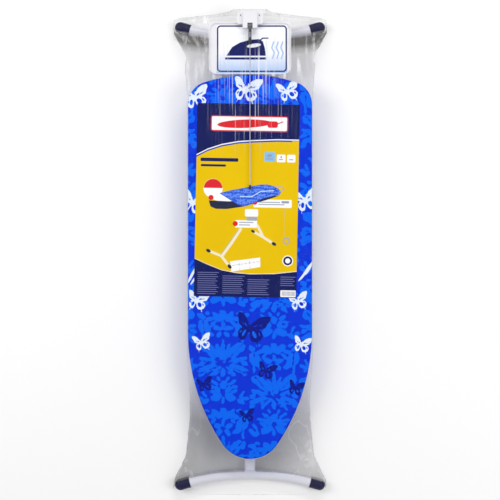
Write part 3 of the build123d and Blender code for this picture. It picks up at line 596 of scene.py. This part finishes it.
def sheet_top(inset):
    """Triangles over the flat top, inside the outline less an inset."""
    border = edge_points - normals_of(edge_points) * inset
    ys = np.arange(NOSE_Y + inset, TAIL_Y - inset, GRID)
    inside = []
    for row, y in enumerate(ys):
        reach = half_width(y) - inset - GRID
        if reach > GRID:
            steps = int(reach / GRID)
            shift = 0.5 * GRID if row % 2 else 0.0
            xs = np.arange(-steps, steps + 1) * GRID + shift
            inside += [(x, y) for x in xs if abs(x) < reach - 0.3 * GRID]
    inside = [p for p in inside if p[1] > NOSE_Y + inset + GRID and p[1] < TAIL_Y - inset - GRID]
    verts = [Vector(p) for p in border.tolist() + inside]
    edges = [(i, (i + 1) % len(border)) for i in range(len(border))]
    points, _, faces, *_ = delaunay_2d_cdt(verts, edges, [], 1, 1e-6)
    return np.array([tuple(p) for p in points]), faces


top_points, top_faces = sheet_top(EDGE_ROUND)
print(len(top_points), "points on top")

# %% Cover rim: rings down the side and under the board
HEM_ROUND = 0.005
PLEAT = 0.021


def rim_profile():
    """How far each ring lies inside the outline, its height, and its way along the cloth."""
    down = []
    for angle in np.linspace(0, math.pi / 2, 8):
        inset = EDGE_ROUND * (1 - math.sin(angle))
        down.append((inset, COVER_TOP - EDGE_ROUND * (1 - math.cos(angle))))
    for height in np.linspace(COVER_TOP - EDGE_ROUND, COVER_LOW + HEM_ROUND, 9)[1:]:
        down.append((0.0, height))
    for angle in np.linspace(0, math.pi / 2, 6)[1:]:
        inset = HEM_ROUND * (1 - math.cos(angle))
        down.append((inset, COVER_LOW + HEM_ROUND * (1 - math.sin(angle))))
    for inset in np.linspace(HEM_ROUND, HEM_IN, 7)[1:]:
        down.append((inset, COVER_LOW))
    down = np.array(down)
    steps = np.hypot(*np.diff(down, axis=0).T)
    return down, np.concatenate([[0], np.cumsum(steps)])


def pleats():
    """Signed pleat height around the rim: strong where the outline bends, faint on the straights."""
    ahead = np.roll(edge_points, -1, axis=0) - edge_points
    walked = np.concatenate([[0], np.cumsum(np.hypot(*ahead.T))])
    total, walked = walked[-1], walked[:-1]
    heading = np.unwrap(np.arctan2(ahead[:, 1], ahead[:, 0]))
    bend = np.abs(np.roll(heading, -1) - np.roll(heading, 1)) / np.hypot(*ahead.T) / 2
    bend = np.convolve(np.tile(np.clip(bend, 0, 14), 3), np.ones(15) / 15, "same")
    bend = bend[len(edge_points) : 2 * len(edge_points)]
    folds = round(total / PLEAT)
    turn = 2 * math.pi * walked / total
    drift = 1.3 * np.sin(7 * turn) + 0.8 * np.sin(17 * turn + 1)
    return np.sin(folds * turn + drift) * (0.0004 + 0.0016 * np.clip(bend / 8, 0, 1))


profile, cloth_way = rim_profile()
fold = pleats()
out = normals_of(edge_points)
ramp = np.clip((COVER_TOP - profile[:, 1]) / (COVER_TOP - COVER_LOW), 0, 1) ** 2
ring_points = []
ring_cloth = []
for (inset, height), way, part in zip(profile[1:], cloth_way[1:], ramp[1:]):
    under = inset > 0 and part > 0.5
    flat = edge_points - out * inset
    if under:
        heights = np.full(len(flat), height) - np.abs(fold) * part * 1.2
    else:
        flat = flat + out * (np.abs(fold) * part)[:, None]
        heights = np.full(len(flat), height)
    ring_points.append(np.column_stack([flat, heights]))
    ring_cloth.append(edge_points + out * (way - EDGE_ROUND))
print(len(profile), "rings, pleats every", PLEAT * 1000, "mm")


# %% Cover mesh
def ripple(x, y):
    """Slow small waves of a stretched cloth, at most 1."""
    return 0.5 * np.sin(x * 31 + 2 * np.sin(y * 9)) * np.sin(y * 17 + 1.5 * np.sin(x * 13)) + 0.5


def cover_piece():
    count = len(edge_points)
    lifted = COVER_TOP - 0.0003 * ripple(top_points[:, 0], top_points[:, 1])
    lifted[:count] = COVER_TOP
    points = np.vstack([np.column_stack([top_points, lifted]), *ring_points])
    cloth = np.vstack([top_points, *ring_cloth])
    rings = [np.arange(count)]
    rings += [len(top_points) + k * count + np.arange(count) for k in range(len(ring_points))]
    faces = list(top_faces)
    for upper, lower in zip(rings, rings[1:]):
        after_upper, after_lower = np.roll(upper, -1), np.roll(lower, -1)
        faces += np.column_stack([upper, lower, after_lower, after_upper]).tolist()
    mesh = bpy.data.meshes.new("printed_cover")
    mesh.from_pydata(points.tolist(), [], faces)
    mesh.shade_smooth()
    x, y = cloth.T / MM
    ink(mesh, "damask", damask(x, y))
    light = [butterfly(x, y, *one) for one in LIGHT_BUTTERFLIES]
    dark = [butterfly(x, y, *one, 0.6) for one in DARK_BUTTERFLIES]
    blades = [leaf(x, y, *one) for one in PALE_BLADES]
    ink(mesh, "light_print", either(*light, *blades))
    ink(mesh, "dark_print", either(*dark))
    cover = bpy.data.objects.new("printed_cover", mesh)
    bpy.context.collection.objects.link(cover)
    return cover


LIGHT_BUTTERFLIES = [
    (-16, 512, 92, -8), (115, 506, 74, 14), (-175, 487, 84, 10), (172, 166, 84, 12),
    (-181, 160, 84, -16), (-168, -146, 70, -10), (147, -149, 64, 12), (-153, -277, 60, 14),
    (159, -283, 60, -10),
]
DARK_BUTTERFLIES = [
    (-3, -233, 108, -10), (47, -365, 62, -14), (-12, -506, 50, 10), (-145, -408, 54, 12),
    (140, -418, 54, -12), (-70, 400, 60, 8), (90, 330, 50, -8),
]
PALE_BLADES = [
    (176, -52, 34, 4, 56), (186, -42, 26, 4, 60), (166, -66, 24, 3, 50), (-182, -66, 30, 4, 62),
    (-174, -78, 22, 3, 56),
]
cover = cover_piece()
print("cover", len(cover.data.vertices), "vertices,", len(cover.data.polygons), "faces")


# %% Cover finish: printed plain-weave cotton
def printed_cotton():
    f = Finish("printed_cotton", (0.0, 0.06, 0.65), 0.7)
    ground = f.blend(f.noise(14, 3.0), (0.0, 0.026, 0.62), (0.0, 0.04, 0.76))
    shades = [
        ("damask", (0.0, 0.135, 0.9)),
        ("dark_print", (0.001, 0.008, 0.24)),
        ("light_print", (0.78, 0.86, 0.95)),
    ]
    f.link(printed(f, ground, shades), "Base Color")
    weave = f.sum(f.ribs(420, "X", 0.4), f.ribs(420, "Y", 0.4))
    f.bump(f.sum(weave, f.noise(60, 4.0)), 0.0003, 0.5)
    f.link(f.spread(weave, 0.62, 0.8, 0, 2), "Roughness")
    f.set("Specular IOR Level", 0.1)
    return f.material


cover.data.materials.append(printed_cotton())
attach(cover, "board")
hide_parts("cover")

# %% [markdown]
# ## The card
#
# A printed card as wide as most of the board lies on the cover. It is stiff paper, so its mesh is
# a fine flat grid with a very small curl, and a thin edge all round. Its picture shows the same
# kind of board standing open. All of it is drawn with the same fields as the cloth, and where a
# real card has words, this one has plain blocks.


# %% A thin printed plate
def plate(name, size, thickness, place, turn, step=2.0, curl=0.0):
    """A thin plate of paper in millimetres: its top is a grid, and place is its lower centre."""
    columns, rows = (int(round(side / step)) + 1 for side in size)
    us = np.linspace(-size[0] / 2, size[0] / 2, columns)
    vs = np.linspace(-size[1] / 2, size[1] / 2, rows)
    u, v = (a.ravel() for a in np.meshgrid(us, vs))
    border = list(range(columns))
    border += [r * columns + columns - 1 for r in range(1, rows)]
    border += [(rows - 1) * columns + i for i in range(columns - 2, -1, -1)]
    border += [r * columns for r in range(rows - 2, 0, -1)]
    rise = curl * (ripple(u / 900, v / 900) + (u / size[0]) ** 2)
    low_u, low_v = u[border], v[border]
    all_u, all_v = np.concatenate([u, low_u]), np.concatenate([v, low_v])
    height = np.concatenate([thickness + rise, rise[border]])
    c, s = math.cos(math.radians(turn)), math.sin(math.radians(turn))
    x = place[0] + all_u * c - all_v * s
    y = place[1] + all_u * s + all_v * c
    first = np.add.outer(np.arange(rows - 1) * columns, np.arange(columns - 1)).ravel()
    faces = np.column_stack([first, first + 1, first + columns + 1, first + columns]).tolist()
    low = columns * rows + np.arange(len(border))
    ring = np.array(border)
    faces += np.column_stack([ring, low, np.roll(low, -1), np.roll(ring, -1)]).tolist()
    faces.append(low[::-1].tolist())
    mesh = bpy.data.meshes.new(name)
    mesh.from_pydata((np.column_stack([x, y, place[2] + height]) * MM).tolist(), [], faces)
    obj = bpy.data.objects.new(name, mesh)
    bpy.context.collection.objects.link(obj)
    return obj, all_u, all_v


print("plate ready")

# %% Card ground: navy ends under two arcs, in millimetres from the card's centre
UPPER_ARC = [(-170, 131), (-125, 155), (-82, 170), (-30, 180), (16, 184), (90, 188), (170, 188)]
LOWER_ARC = [
    (-170, -180), (-120, -202), (-75, -219), (-30, -227), (15, -230), (89, -228), (170, -218),
]
CARD_MIDDLE_U = -12
STRIPE_REACH = 150


def card_ground(u, v):
    """The navy ends, the blue stripe and the thin white lines that edge them."""
    high = np.interp(u, *np.array(UPPER_ARC).T)
    low = np.interp(u, *np.array(LOWER_ARC).T)
    navy = either(v - high, low - v)
    stripe = np.minimum(2.2 - np.abs(v - high + 1.2), STRIPE_REACH - np.abs(u - CARD_MIDDLE_U))
    edging = either(1.7 - np.abs(v - high - 3), 1.0 - np.abs(v - low - 1))
    return navy, stripe, edging


print("arcs with", len(UPPER_ARC), "and", len(LOWER_ARC), "corners")

# %% Card boxes: white panels and captions, red marks, one sky-blue square
BADGE_CENTRE = (131, -186)
LEAFLET = [(-49, -191), (45, -177), (46, -207), (-44, -223)]
PAD_SIDE = [(-112, 12), (-106, 2), (-84, -6), (-54, -16), (-9, -16), (-50, 8), (-82, 22), (-98, 21)]


def card_boxes(u, v):
    """The white, red and sky-blue areas."""
    panel = bar(u, v, -117, 215, 124, 264, 7)
    mark = either(
        leaf(u, v, -12, 239, 84, 13, 3), bar(u, v, 60, 228, 92, 248, 6),
        stroke(u, v, [(88, 239), (108, 247)], 3),
    )
    red = either(
        np.minimum(panel, 3.2 - panel), np.minimum(mark, panel), disc(u, v, -112, 7, 8),
        disc(u, v, 25, -5, 8), disc(u, v, -35, -73, 8),
        np.minimum(disc(u, v, -106, 36, 29), v - 37),
    )
    white = either(
        panel, bar(u, v, 91, 121, 118, 145, 3), bar(u, v, 123, 121, 149, 145, 3),
        disc(u, v, -106, 36, 30), bar(u, v, 21, -21, 140, 4, 2), bar(u, v, -35, -85, 33, -62, 2),
        outline(u, v, LEAFLET), bar(u, v, 110, -299, 158, -278, 2), bar(u, v, -5, -50, 36, -27, 4),
        disc(u, v, *BADGE_CENTRE, 17), outline(u, v, PAD_SIDE),
    )
    sky = bar(u, v, 52, 122, 85, 152, 4)
    return white, red, sky


print("the mark is a plain board in red")

# %% Card picture: the same kind of board, standing open
CORE_SIDE = [
    (-119, -2), (-113, -21), (-96, -28), (-62, -28), (-13, -20), (60, 2), (104, 18), (50, 12),
    (-54, -4),
]
BOARD_TOP = [
    (-86, 21), (-50, 31), (-14, 38), (39, 50), (62, 51), (80, 47), (98, 38), (106, 28), (102, 20),
    (52, 7), (3, -16), (-9, -19), (-28, -14),
]
LEGS = [
    ([(-18, -90), (-44, -132), (-73, -173)], 9), ([(20, -62), (35, -79), (45, -97), (52, -111)], 8),
    ([(-117, -159), (-77, -174), (-50, -207)], 8), ([(21, -96), (54, -114), (87, -134)], 8),
]
LEG_CAPS = [(-117, -159, 8, 5, -30), (-50, -207, 8, 5, -50), (21, -96, 7, 4, -30), (87, -134, 8, 5, -30)]


def card_picture(u, v):
    """Each ink of the picture: its name and its field."""
    cover_top = outline(u, v, BOARD_TOP)
    pattern = np.minimum(cover_top - 1.5, damask(4.5 * u + 2 * v, 6 * v) / 4.5)
    steel = either(
        stroke(u, v, [(79, 47), (108, 46), (116, 37), (101, 30)], 2.6),
        bar(u, v, 0, -63, 33, -51, 3), stroke(u, v, [(118, -24), (119, -116)], 1.6),
        2 - np.abs(disc(u, v, 126, -124, 9)), stroke(u, v, [(-24, -92), (-79, -172)], 1.8),
    )
    return [
        ("card_cream", either(*[stroke(u, v, *leg) for leg in LEGS])),
        ("card_black", either(outline(u, v, CORE_SIDE), *[leaf(u, v, *cap) for cap in LEG_CAPS])),
        ("card_blue", cover_top),
        ("card_cloth", pattern),
        ("card_glow", stroke(u, v, [(-22, 12), (15, 12), (43, 29), (84, 32)], 2.6)),
        ("card_steel", steel),
    ]


print(len(LEGS), "legs and feet in the picture")

# %% Card words: plain bars and blocks stand for them
TEXT_COLUMNS = [(-150, -228, 68, 11), (-72, -238, 70, 9), (6, -248, 70, 8), (109, -238, 48, 5)]
TEXT_PITCH = 6.6
TEXT_HEIGHT = 2.6
CAPTION_BARS = [
    (36, -6, 104, -3, 1), (36, -13, 118, -10, 1), (108, -7, 132, 0, 2), (-24, -70, 22, -67, 1),
    (-24, -78, 12, -75, 1), (97, 128, 111, 131, 1), (129, 128, 143, 131, 1), (58, 129, 79, 133, 1),
]
LEAFLET_LINES = [[(-44, -204), (44, -190)], [(-20, -197), (-18, -218)], [(12, -189), (14, -212)]]


def text_blocks(u, v):
    """Rows of blocks of uneven length, column by column."""
    return [
        bar(u, v, left, top - TEXT_PITCH * row, left + wide - (7 * row) % 12,
            top - TEXT_PITCH * row + TEXT_HEIGHT, 1.2)
        for left, top, wide, rows in TEXT_COLUMNS for row in range(rows)
    ]


def card_words(u, v):
    """Each ink of the words: its name and its field."""
    captions = [bar(u, v, *one) for one in CAPTION_BARS]
    captions += [stroke(u, v, line, 1.4) for line in LEAFLET_LINES]
    captions += [disc(u, v, 105, 137, 3), leaf(u, v, 68, 141, 9, 4, 10)]
    heading = [bar(u, v, -147, 120, -29, 131, 3), bar(u, v, -146, 104, -67, 111, 3)]
    heading += [bar(u, v, x, -296, x + 1.8, -281) for x in range(114, 156, 4)]
    badge = np.minimum(disc(u, v, *BADGE_CENTRE, 14), -disc(u, v, *BADGE_CENTRE, 8))
    return [
        ("card_lilac", either(*text_blocks(u, v))),
        ("card_lines", either(*captions)),
        ("card_heading", either(badge, *heading)),
    ]


print(sum(column[3] for column in TEXT_COLUMNS), "blocks stand for words")

# %% Card
card_low, card_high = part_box("insert_card")
card_middle = (card_low + card_high) / 2 / MM
CARD_SIZE = (319.0, 602.0)
CARD_THICK = 0.8
CARD_TURN = -1.1
card_place = (card_middle[0], card_middle[1], card_low[2] / MM)
card, u, v = plate("printed_card", CARD_SIZE, CARD_THICK, card_place, CARD_TURN, curl=0.5)
navy, stripe, edging = card_ground(u, v)
white, red, sky = card_boxes(u, v)
white = np.minimum(either(edging, white), -np.minimum(red, 40 - red))
inks = [("card_navy", navy), ("card_stripe", stripe), ("card_white", white), ("card_red", red)]
inks += [("card_sky", sky), *card_picture(u, v), *card_words(u, v)]
for name, field in inks:
    ink(card.data, name, field)
print("card", len(card.data.vertices), "vertices")


# %% Card finish: offset inks on coated board
def coated_card():
    f = Finish("coated_card", (0.78, 0.5, 0.0), 0.42)
    paper = f.blend(f.noise(8, 2.0), (0.72, 0.455, 0.0), (0.8, 0.535, 0.0))
    shades = [
        ("card_navy", (0.006, 0.011, 0.095)),
        ("card_cream", (0.83, 0.76, 0.55)),
        ("card_white", (0.9, 0.9, 0.91)),
        ("card_black", (0.02, 0.025, 0.06)),
        ("card_red", (0.68, 0.02, 0.03)),
        ("card_stripe", (0.02, 0.06, 0.4)),
        ("card_blue", (0.02, 0.09, 0.62)),
        ("card_cloth", (0.13, 0.26, 0.85)),
        ("card_glow", (0.55, 0.75, 0.95)),
        ("card_steel", (0.35, 0.38, 0.45)),
        ("card_sky", (0.2, 0.5, 0.85)),
        ("card_lilac", (0.13, 0.14, 0.33)),
        ("card_lines", (0.3, 0.32, 0.4)),
        ("card_heading", (0.01, 0.014, 0.08)),
    ]
    f.link(printed(f, paper, shades), "Base Color")
    f.bump(f.noise(350, 4.0), 0.00008, 0.35)
    f.link(f.spread(f.noise(40, 2.0), 0.34, 0.5), "Roughness")
    f.set("Specular IOR Level", 0.08)
    return f.material


card.data.materials.append(coated_card())
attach(card, "board")
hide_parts("insert_card")
print("card finished")

# %% [markdown]
# ## The sticker on the iron rest
#
# The rest's floor carries a large paper sticker with a blue frame, a simple iron and three waves
# of steam. It turns pale blue toward the board, and the tray's own white shows around it.

# %% Sticker
sticker_low, sticker_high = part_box("rest_sticker")
sticker_size = (sticker_high - sticker_low) / MM
sticker_place = ((sticker_low + sticker_high) / 2 / MM)[:2] + (sticker_low[2] / MM,)
sticker, u, v = plate("iron_sticker", sticker_size[:2], sticker_size[2], sticker_place, 0, step=1.5)
FRAME_WIDTH = 4.6
IRON_BODY = [(-80, -21), (-62, 6), (-38, 20), (-6, 29), (22, 31), (34, 24), (40, 4), (44, -21)]
frame_line = bar(u, v, -109.5, -72, 109.5, 74, 12)
body = outline(u, v, IRON_BODY)
grip = leaf(u, v, 6, 11, 22, 6, 8)
sole = bar(u, v, -84, -33, 46, -26, 3)
lead = stroke(u, v, [(26, 28), (34, 34), (50, 34)], 4)
steam = [stroke(u, v, [(64 + k, -30), (70 + k, -12), (62 + k, 4), (68 + k, 22)], 4) for k in (0, 14, 28)]
ink(sticker.data, "sticker_line", np.minimum(frame_line, FRAME_WIDTH - frame_line))
ink(sticker.data, "sticker_iron", either(np.minimum(body, -grip), sole, lead))
ink(sticker.data, "sticker_steam", either(*steam))
ink(sticker.data, "sticker_fade", -v)
print("sticker", len(sticker.data.vertices), "vertices")


# %% Sticker finish
def glossy_sticker():
    f = Finish("glossy_sticker", (0.88, 0.89, 0.93), 0.3)
    paper = f.blend(f.noise(30, 3.0), (0.86, 0.87, 0.92), (0.91, 0.92, 0.95))
    low_end = f.spread(f.attribute("sticker_fade"), 0, 1, 12, 68)
    paper = f.blend(low_end, paper, (0.42, 0.56, 0.84))
    shades = [
        ("sticker_line", (0.008, 0.012, 0.11)),
        ("sticker_iron", (0.008, 0.012, 0.11)),
        ("sticker_steam", (0.35, 0.5, 0.8)),
    ]
    f.link(printed(f, paper, shades, 0.5), "Base Color")
    f.bump(f.noise(220, 3.0), 0.00006, 0.3)
    f.set("Specular IOR Level", 0.2)
    return f.material


sticker.data.materials.append(glossy_sticker())
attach(sticker, "board")
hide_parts("rest_sticker")
print("sticker finished")

# %% [markdown]
# ## The shrink film
#
# The film is a bag shrunk over the whole folded board. It is tight over the ironing face, where it
# almost disappears, and it spans freely to the feet, where it wrinkles and is painted grey as
# shade, darkest in a painted shadow beside the tail foot's bar; its white pleats, streaks and
# crests are painted highlights. Its form comes from the CAD film: rays are cast at it from all
# round each cross-section, which gives an even net of points. The net is drawn in a little at its
# ends, and small creases are pushed into it, more of them where nothing is close beneath. The bag
# is open from below, so the legs can swing out of it, and a slit over the cord rod lets that rod
# stand up.

# %% Cast the film's net
film_low, film_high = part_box("film_wrap")
AXIS_Z = 0.012
STATION = 0.005
SPOKES = 132
RAY = 0.6
FILM_HEM = 0.004
END_GAP = 0.0004
mesh_work = bmesh.new()
mesh_work.from_mesh(nodes["film_wrap"].data)
film_tree = BVHTree.FromBMesh(mesh_work)
mesh_work.free()


def film_hit(origin, way):
    """Where the film lies from an origin in one direction, seen from outside."""
    return film_tree.ray_cast(origin + way * RAY, -way, RAY)[0]


def film_section(y):
    """Points over one cross-section, from the left lower edge over the top to the right one."""
    side = film_hit(Vector((0, y, FILM_HEM)), Vector((1, 0, 0)))
    lowest = math.atan2(FILM_HEM - AXIS_Z, side.x)
    centre = Vector((0, y, AXIS_Z))
    angles = np.linspace(math.pi - lowest, lowest, 3 * SPOKES)
    ways = [Vector((math.cos(a), 0, math.sin(a))) for a in angles]
    hits = [film_hit(centre, way) for way in ways]
    reach = np.array([(hit - centre).length if hit else math.nan for hit in hits])
    known = ~np.isnan(reach)
    reach = np.interp(-angles, -angles[known], reach[known])
    xs, zs = np.cos(angles) * reach, AXIS_Z + np.sin(angles) * reach
    walked = np.concatenate([[0], np.cumsum(np.hypot(np.diff(xs), np.diff(zs)))])
    even = np.linspace(0, walked[-1], SPOKES)
    return np.column_stack([np.interp(even, walked, xs), np.full(SPOKES, y), np.interp(even, walked, zs)])


stations = round((film_high.y - film_low.y) / STATION)
station_ys = np.linspace(film_low.y + END_GAP, film_high.y - END_GAP, stations)
net = np.array([film_section(y) for y in station_ys])
print("film net", net.shape[:2], "half width at the tail", round(float(net[-1, :, 0].max()), 3))


# %% Draw the ends in, and push creases into the net
END_DRAW = 0.016
WAIST_DRAW = 0.055
WAIST_Y = 0.622
WAIST_LENGTH = 0.028
CREASE_TIGHT, CREASE_FREE, CREASE_LOW = 0.0004, 0.0042, 0.0016


def ridges(x, y, seed, scale):
    """Sharp-crested waves that wander over the film, from 0 to 1."""
    rng = np.random.default_rng(seed)
    total = np.zeros(np.shape(x))
    for _ in range(5):
        lean, shift, slow = rng.uniform(0, math.pi), rng.uniform(0, 6.28), rng.uniform(0.3, 0.7)
        along = x * math.cos(lean) + y * math.sin(lean)
        across = y * math.cos(lean) - x * math.sin(lean)
        total += (1 - np.abs(np.sin(scale * along + 1.6 * np.sin(slow * scale * across + shift)))) ** 3
    return total / 5


def creased(net):
    """Moves the net outward along its crests."""
    ahead = np.gradient(net, axis=0)
    around = np.gradient(net, axis=1)
    outward = np.cross(around, ahead)
    outward /= np.maximum(np.linalg.norm(outward, axis=2), 1e-9)[..., None]
    x, y, z = np.moveaxis(net, 2, 0)
    free = np.clip((np.abs(y - 0.01) - 0.50) / 0.16, 0, 1)
    low = np.clip((0.075 - z) / 0.04, 0, 1)
    size = CREASE_TIGHT + CREASE_FREE * free + CREASE_LOW * low
    crest = ridges(x * 1.3, y + 0.6 * z, 4, 62) + 0.4 * ridges(x + z, y, 9, 150)
    return net + outward * (size * crest)[..., None]


def drawn_in(net):
    """Draws the film's sides in at the ends, and most at the waist behind the tail caps."""
    y = net[:, :, 1]
    ends = np.clip((np.abs(y) - 0.60) / 0.06, 0, 1)
    waist = np.exp(-(((y - WAIST_Y) / WAIST_LENGTH) ** 2))
    drawn = net.copy()
    drawn[:, :, 0] *= 1 - END_DRAW * ends - WAIST_DRAW * waist
    return drawn


net = creased(drawn_in(net))
print("crease height to", round(float(np.ptp(net[:, :, 2])), 3))


# %% Where the film lies over a solid piece, and how far it is from the tail foot
FOOT_TUBE_R = 0.018
FOOT_BOW = 0.040
FOOT_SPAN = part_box("nose_foot_caps")[1].x
INNER_TUBE_END_Y = -0.5


def tail_gap(x, y):
    """How far each point lies toward the board from the tail foot's bar, in millimetres."""
    bar_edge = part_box("tail_foot_bar")[0].y + FOOT_BOW * (x / FOOT_SPAN) ** 2
    return (bar_edge - y) / MM


def over_box(name, x, y):
    """How far inside a centred piece's outline each point lies."""
    low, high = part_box(name)
    return np.minimum(high.x - np.abs(x), np.minimum(y - low.y, high.y - y))


def over_foot(name, way, x, y):
    """How far inside a bowed foot each point lies. Beyond the nose foot all counts as inside."""
    middle_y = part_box(name + "_bar")[0 if way > 0 else 1].y + way * FOOT_TUBE_R
    bow = middle_y + way * FOOT_BOW * (x / FOOT_SPAN) ** 2
    foot = np.minimum(FOOT_TUBE_R - np.abs(y - bow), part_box(name + "_caps")[1].x - np.abs(x))
    return either(foot, np.where(y < bow, 1.0, -1.0)) if way < 0 else foot


def free_span(x, y):
    """How far each point of the film is from lying over a solid piece, in millimetres."""
    half = half_width(y)
    board = np.where(half > 0, half - np.abs(x), -1.0)
    tray = over_box("rest_tray", x, y)
    holder = over_box("cord_holder_clamp", x, y)
    tube = np.minimum(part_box("inner_leg_tube")[1].x - np.abs(x), INNER_TUBE_END_Y - y)
    feet = [over_foot("nose_foot", -1, x, y), over_foot("tail_foot", 1, x, y)]
    return -either(board, tray, holder, tube, *feet) / MM


print("feet bow by", FOOT_BOW, "m over", round(2 * FOOT_SPAN, 3), "m")


# %% Film mesh
SLIT_HALF = 0.0095
WALL_COLUMNS = 70
WALL_BULGE = 0.004
slit_start, slit_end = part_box("cord_clip")[0].y - 0.012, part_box("holder_swivel")[1].y + 0.008


def end_wall(row):
    """A grid that closes one end, strung between the left and right halves of the last section."""
    half = SPOKES // 2
    left, right = row[:half], row[::-1][:half]
    share = np.linspace(0, 1, WALL_COLUMNS)[:, None, None]
    wall = left * (1 - share) + right * share
    bulge = WALL_BULGE * np.sin(math.pi * share[..., 0]) * ridges(wall[..., 0] * 1.2, wall[..., 2], 6, 70)
    wall[..., 1] += np.sign(row[0, 1]) * bulge
    return wall


def grid_faces(rows, columns, start, flip=False):
    first = start + np.add.outer(np.arange(rows - 1) * columns, np.arange(columns - 1)).ravel()
    quads = np.column_stack([first, first + columns, first + columns + 1, first + 1])
    return (quads[:, ::-1] if flip else quads).tolist()


def film_piece():
    blocks = [net, end_wall(net[0]), end_wall(net[-1])]
    points, faces = [], []
    for block, flip in zip(blocks, (True, True, False)):
        faces += grid_faces(*block.shape[:2], len(points), flip)
        points += block.reshape(-1, 3).tolist()
    mesh = bpy.data.meshes.new("shrink_film")
    mesh.from_pydata(points, [], faces)
    work = bmesh.new()
    work.from_mesh(mesh)
    bmesh.ops.remove_doubles(work, verts=work.verts, dist=1e-5)
    over = [f for f in work.faces if abs(f.calc_center_median().x) < SLIT_HALF]
    over = [f for f in over if slit_start < f.calc_center_median().y < slit_end and f.normal.z > 0.3]
    bmesh.ops.delete(work, geom=over, context="FACES")
    work.to_mesh(mesh)
    work.free()
    mesh.shade_smooth()
    places = np.array([vertex.co for vertex in mesh.vertices])
    ink(mesh, "free_span", free_span(*places.T[:2]))
    ink(mesh, "tail_gap", tail_gap(*places.T[:2]))
    film = bpy.data.objects.new("shrink_film", mesh)
    bpy.context.collection.objects.link(film)
    return film


film = film_piece()
print("film", len(film.data.vertices), "vertices")


# %% Film layers: clear, painted highlights where it is creased, painted grey shade where it hangs free
def film_shade_haze(f, free, nose, tail, bar_shadow):
    """Painted grey shade as a haze: thick at the nose, thinner at the tail, deepest in a painted shadow
    beside the tail foot's bar.
    """
    beyond = f.spread(f.attribute("tail_gap"), 1, 0.45, 0, -14)
    shade_haze = f.sum(f.sum(nose, 0.62, "MULTIPLY"), f.sum(tail, 0.34, "MULTIPLY"))
    shade_haze = f.sum(f.sum(shade_haze, beyond, "MULTIPLY"), 0.12, "MAXIMUM")
    shade_haze = f.sum(shade_haze, f.sum(bar_shadow, 0.5, "MULTIPLY"))
    cloud = f.spread(f.noise(9, 4.0, along=(1, 0.5, 1)), 0.7, 1.25)
    return f.sum(f.sum(shade_haze, cloud, "MULTIPLY"), free, "MULTIPLY")


def film_pleat_highlights(f, free, tail, bar_shadow):
    """Painted highlights: white pleats along the film where it hangs free at the tail."""
    pleat_highlight = f.spread(f.noise(46, 4.0, along=(1, 0.14, 0.3)), 0, 1, 0.54, 0.7)
    pleat_highlight = f.sum(pleat_highlight, f.sum(tail, free, "MULTIPLY"), "MULTIPLY")
    return f.sum(pleat_highlight, f.spread(bar_shadow, 1, 0.3), "MULTIPLY")


def film_streak_highlights(f, x, y):
    """Painted highlights: fine lengthwise streaks over the rest, the cover's end and the top of the card.
    """
    lines = f.spread(f.noise(210, 2.0, along=(1, 0.02, 0.1)), 0, 1, 0.52, 0.66)
    beside = f.spread(f.sum(x, 0, "ABSOLUTE"), 1, 0, 0.03, 0.17)
    span = f.sum(f.spread(y, 0, 1, 0.28, 0.42), f.spread(y, 1, 0, 0.62, 0.70), "MULTIPLY")
    return f.sum(lines, f.sum(beside, span, "MULTIPLY"), "MULTIPLY")


def film_crests_and_highlights(f, free):
    """Faint sharp crests that wander over the free film, used for painted highlights and for a bump."""
    wander = f.sum(f.noise(6, 3.0, along=(1, 0.5, 1)), 0.5, "SUBTRACT")
    crest = f.spread(f.sum(wander, 0, "ABSOLUTE"), 1, 0, 0.0, 0.008)
    return f.sum(crest, f.spread(free, 0.03, 0.09), "MULTIPLY")


# Haze layer: painted grey shade. Pleats, streaks and crests: painted highlights.
print("four layers: haze, pleats, streaks and crests")


# %% Film finish
def shrink_film():
    f = Finish("shrink_film", (0.5, 0.5, 0.5), 0.14)
    split = f.add("ShaderNodeSeparateXYZ")
    f.link(f.place, split.inputs["Vector"])
    x, y = split.outputs["X"], split.outputs["Y"]
    free = f.spread(f.attribute("free_span"), 0, 1, -3, 1)
    nose = f.spread(y, 0, 1, -0.36, -0.52)
    tail = f.spread(y, 0, 1, 0.44, 0.56)
    gap = f.attribute("tail_gap")
    # A painted shadow on the film, beside the tail foot's bar.
    bar_shadow = f.sum(f.spread(gap, 1, 0, 30, 62), f.spread(gap, 0, 1, 0, 10), "MULTIPLY")
    shade_haze = film_shade_haze(f, free, nose, tail, bar_shadow)
    crest = film_crests_and_highlights(f, free)
    # Painted highlights: white where the film is pleated, streaked and creased.
    white = f.sum(film_pleat_highlights(f, free, tail, bar_shadow), 0.6, "MULTIPLY")
    white = f.sum(white, f.sum(film_streak_highlights(f, x, y), 0.5, "MULTIPLY"), "MAXIMUM")
    white = f.sum(white, crest, "MAXIMUM")
    f.link(f.sum(f.sum(shade_haze, white, "MAXIMUM"), 0.008, "MAXIMUM"), "Alpha")
    # Painted shade: the film's grey at the nose, lighter toward +x.
    lit = f.spread(x, 0, 1, 0.02, 0.2)
    grey = f.blend(lit, (0.15, 0.15, 0.155), (0.38, 0.38, 0.385))
    # The tail's painted grey shade darkens to a painted shadow beside the foot's bar.
    tail_shade_and_shadow = f.blend(bar_shadow, (0.31, 0.3, 0.295), (0.08, 0.075, 0.07))
    shade = f.blend(nose, tail_shade_and_shadow, grey)
    # Base colour: painted white highlights over the painted grey shade and shadow.
    f.link(f.blend(f.sum(white, 2, "MULTIPLY"), shade, (0.9, 0.9, 0.92)), "Base Color")
    f.bump(f.sum(crest, f.noise(30, 4.0)), 0.0006, 0.5)
    return f.material


film.data.materials.append(shrink_film())
film.visible_shadow = False
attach(film, "board")
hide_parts("film_wrap")
around = float(np.hypot(np.diff(net[len(net) // 2, :, 0]), np.diff(net[len(net) // 2, :, 2])).sum())
print("film is cut", round(around, 3), "m around")
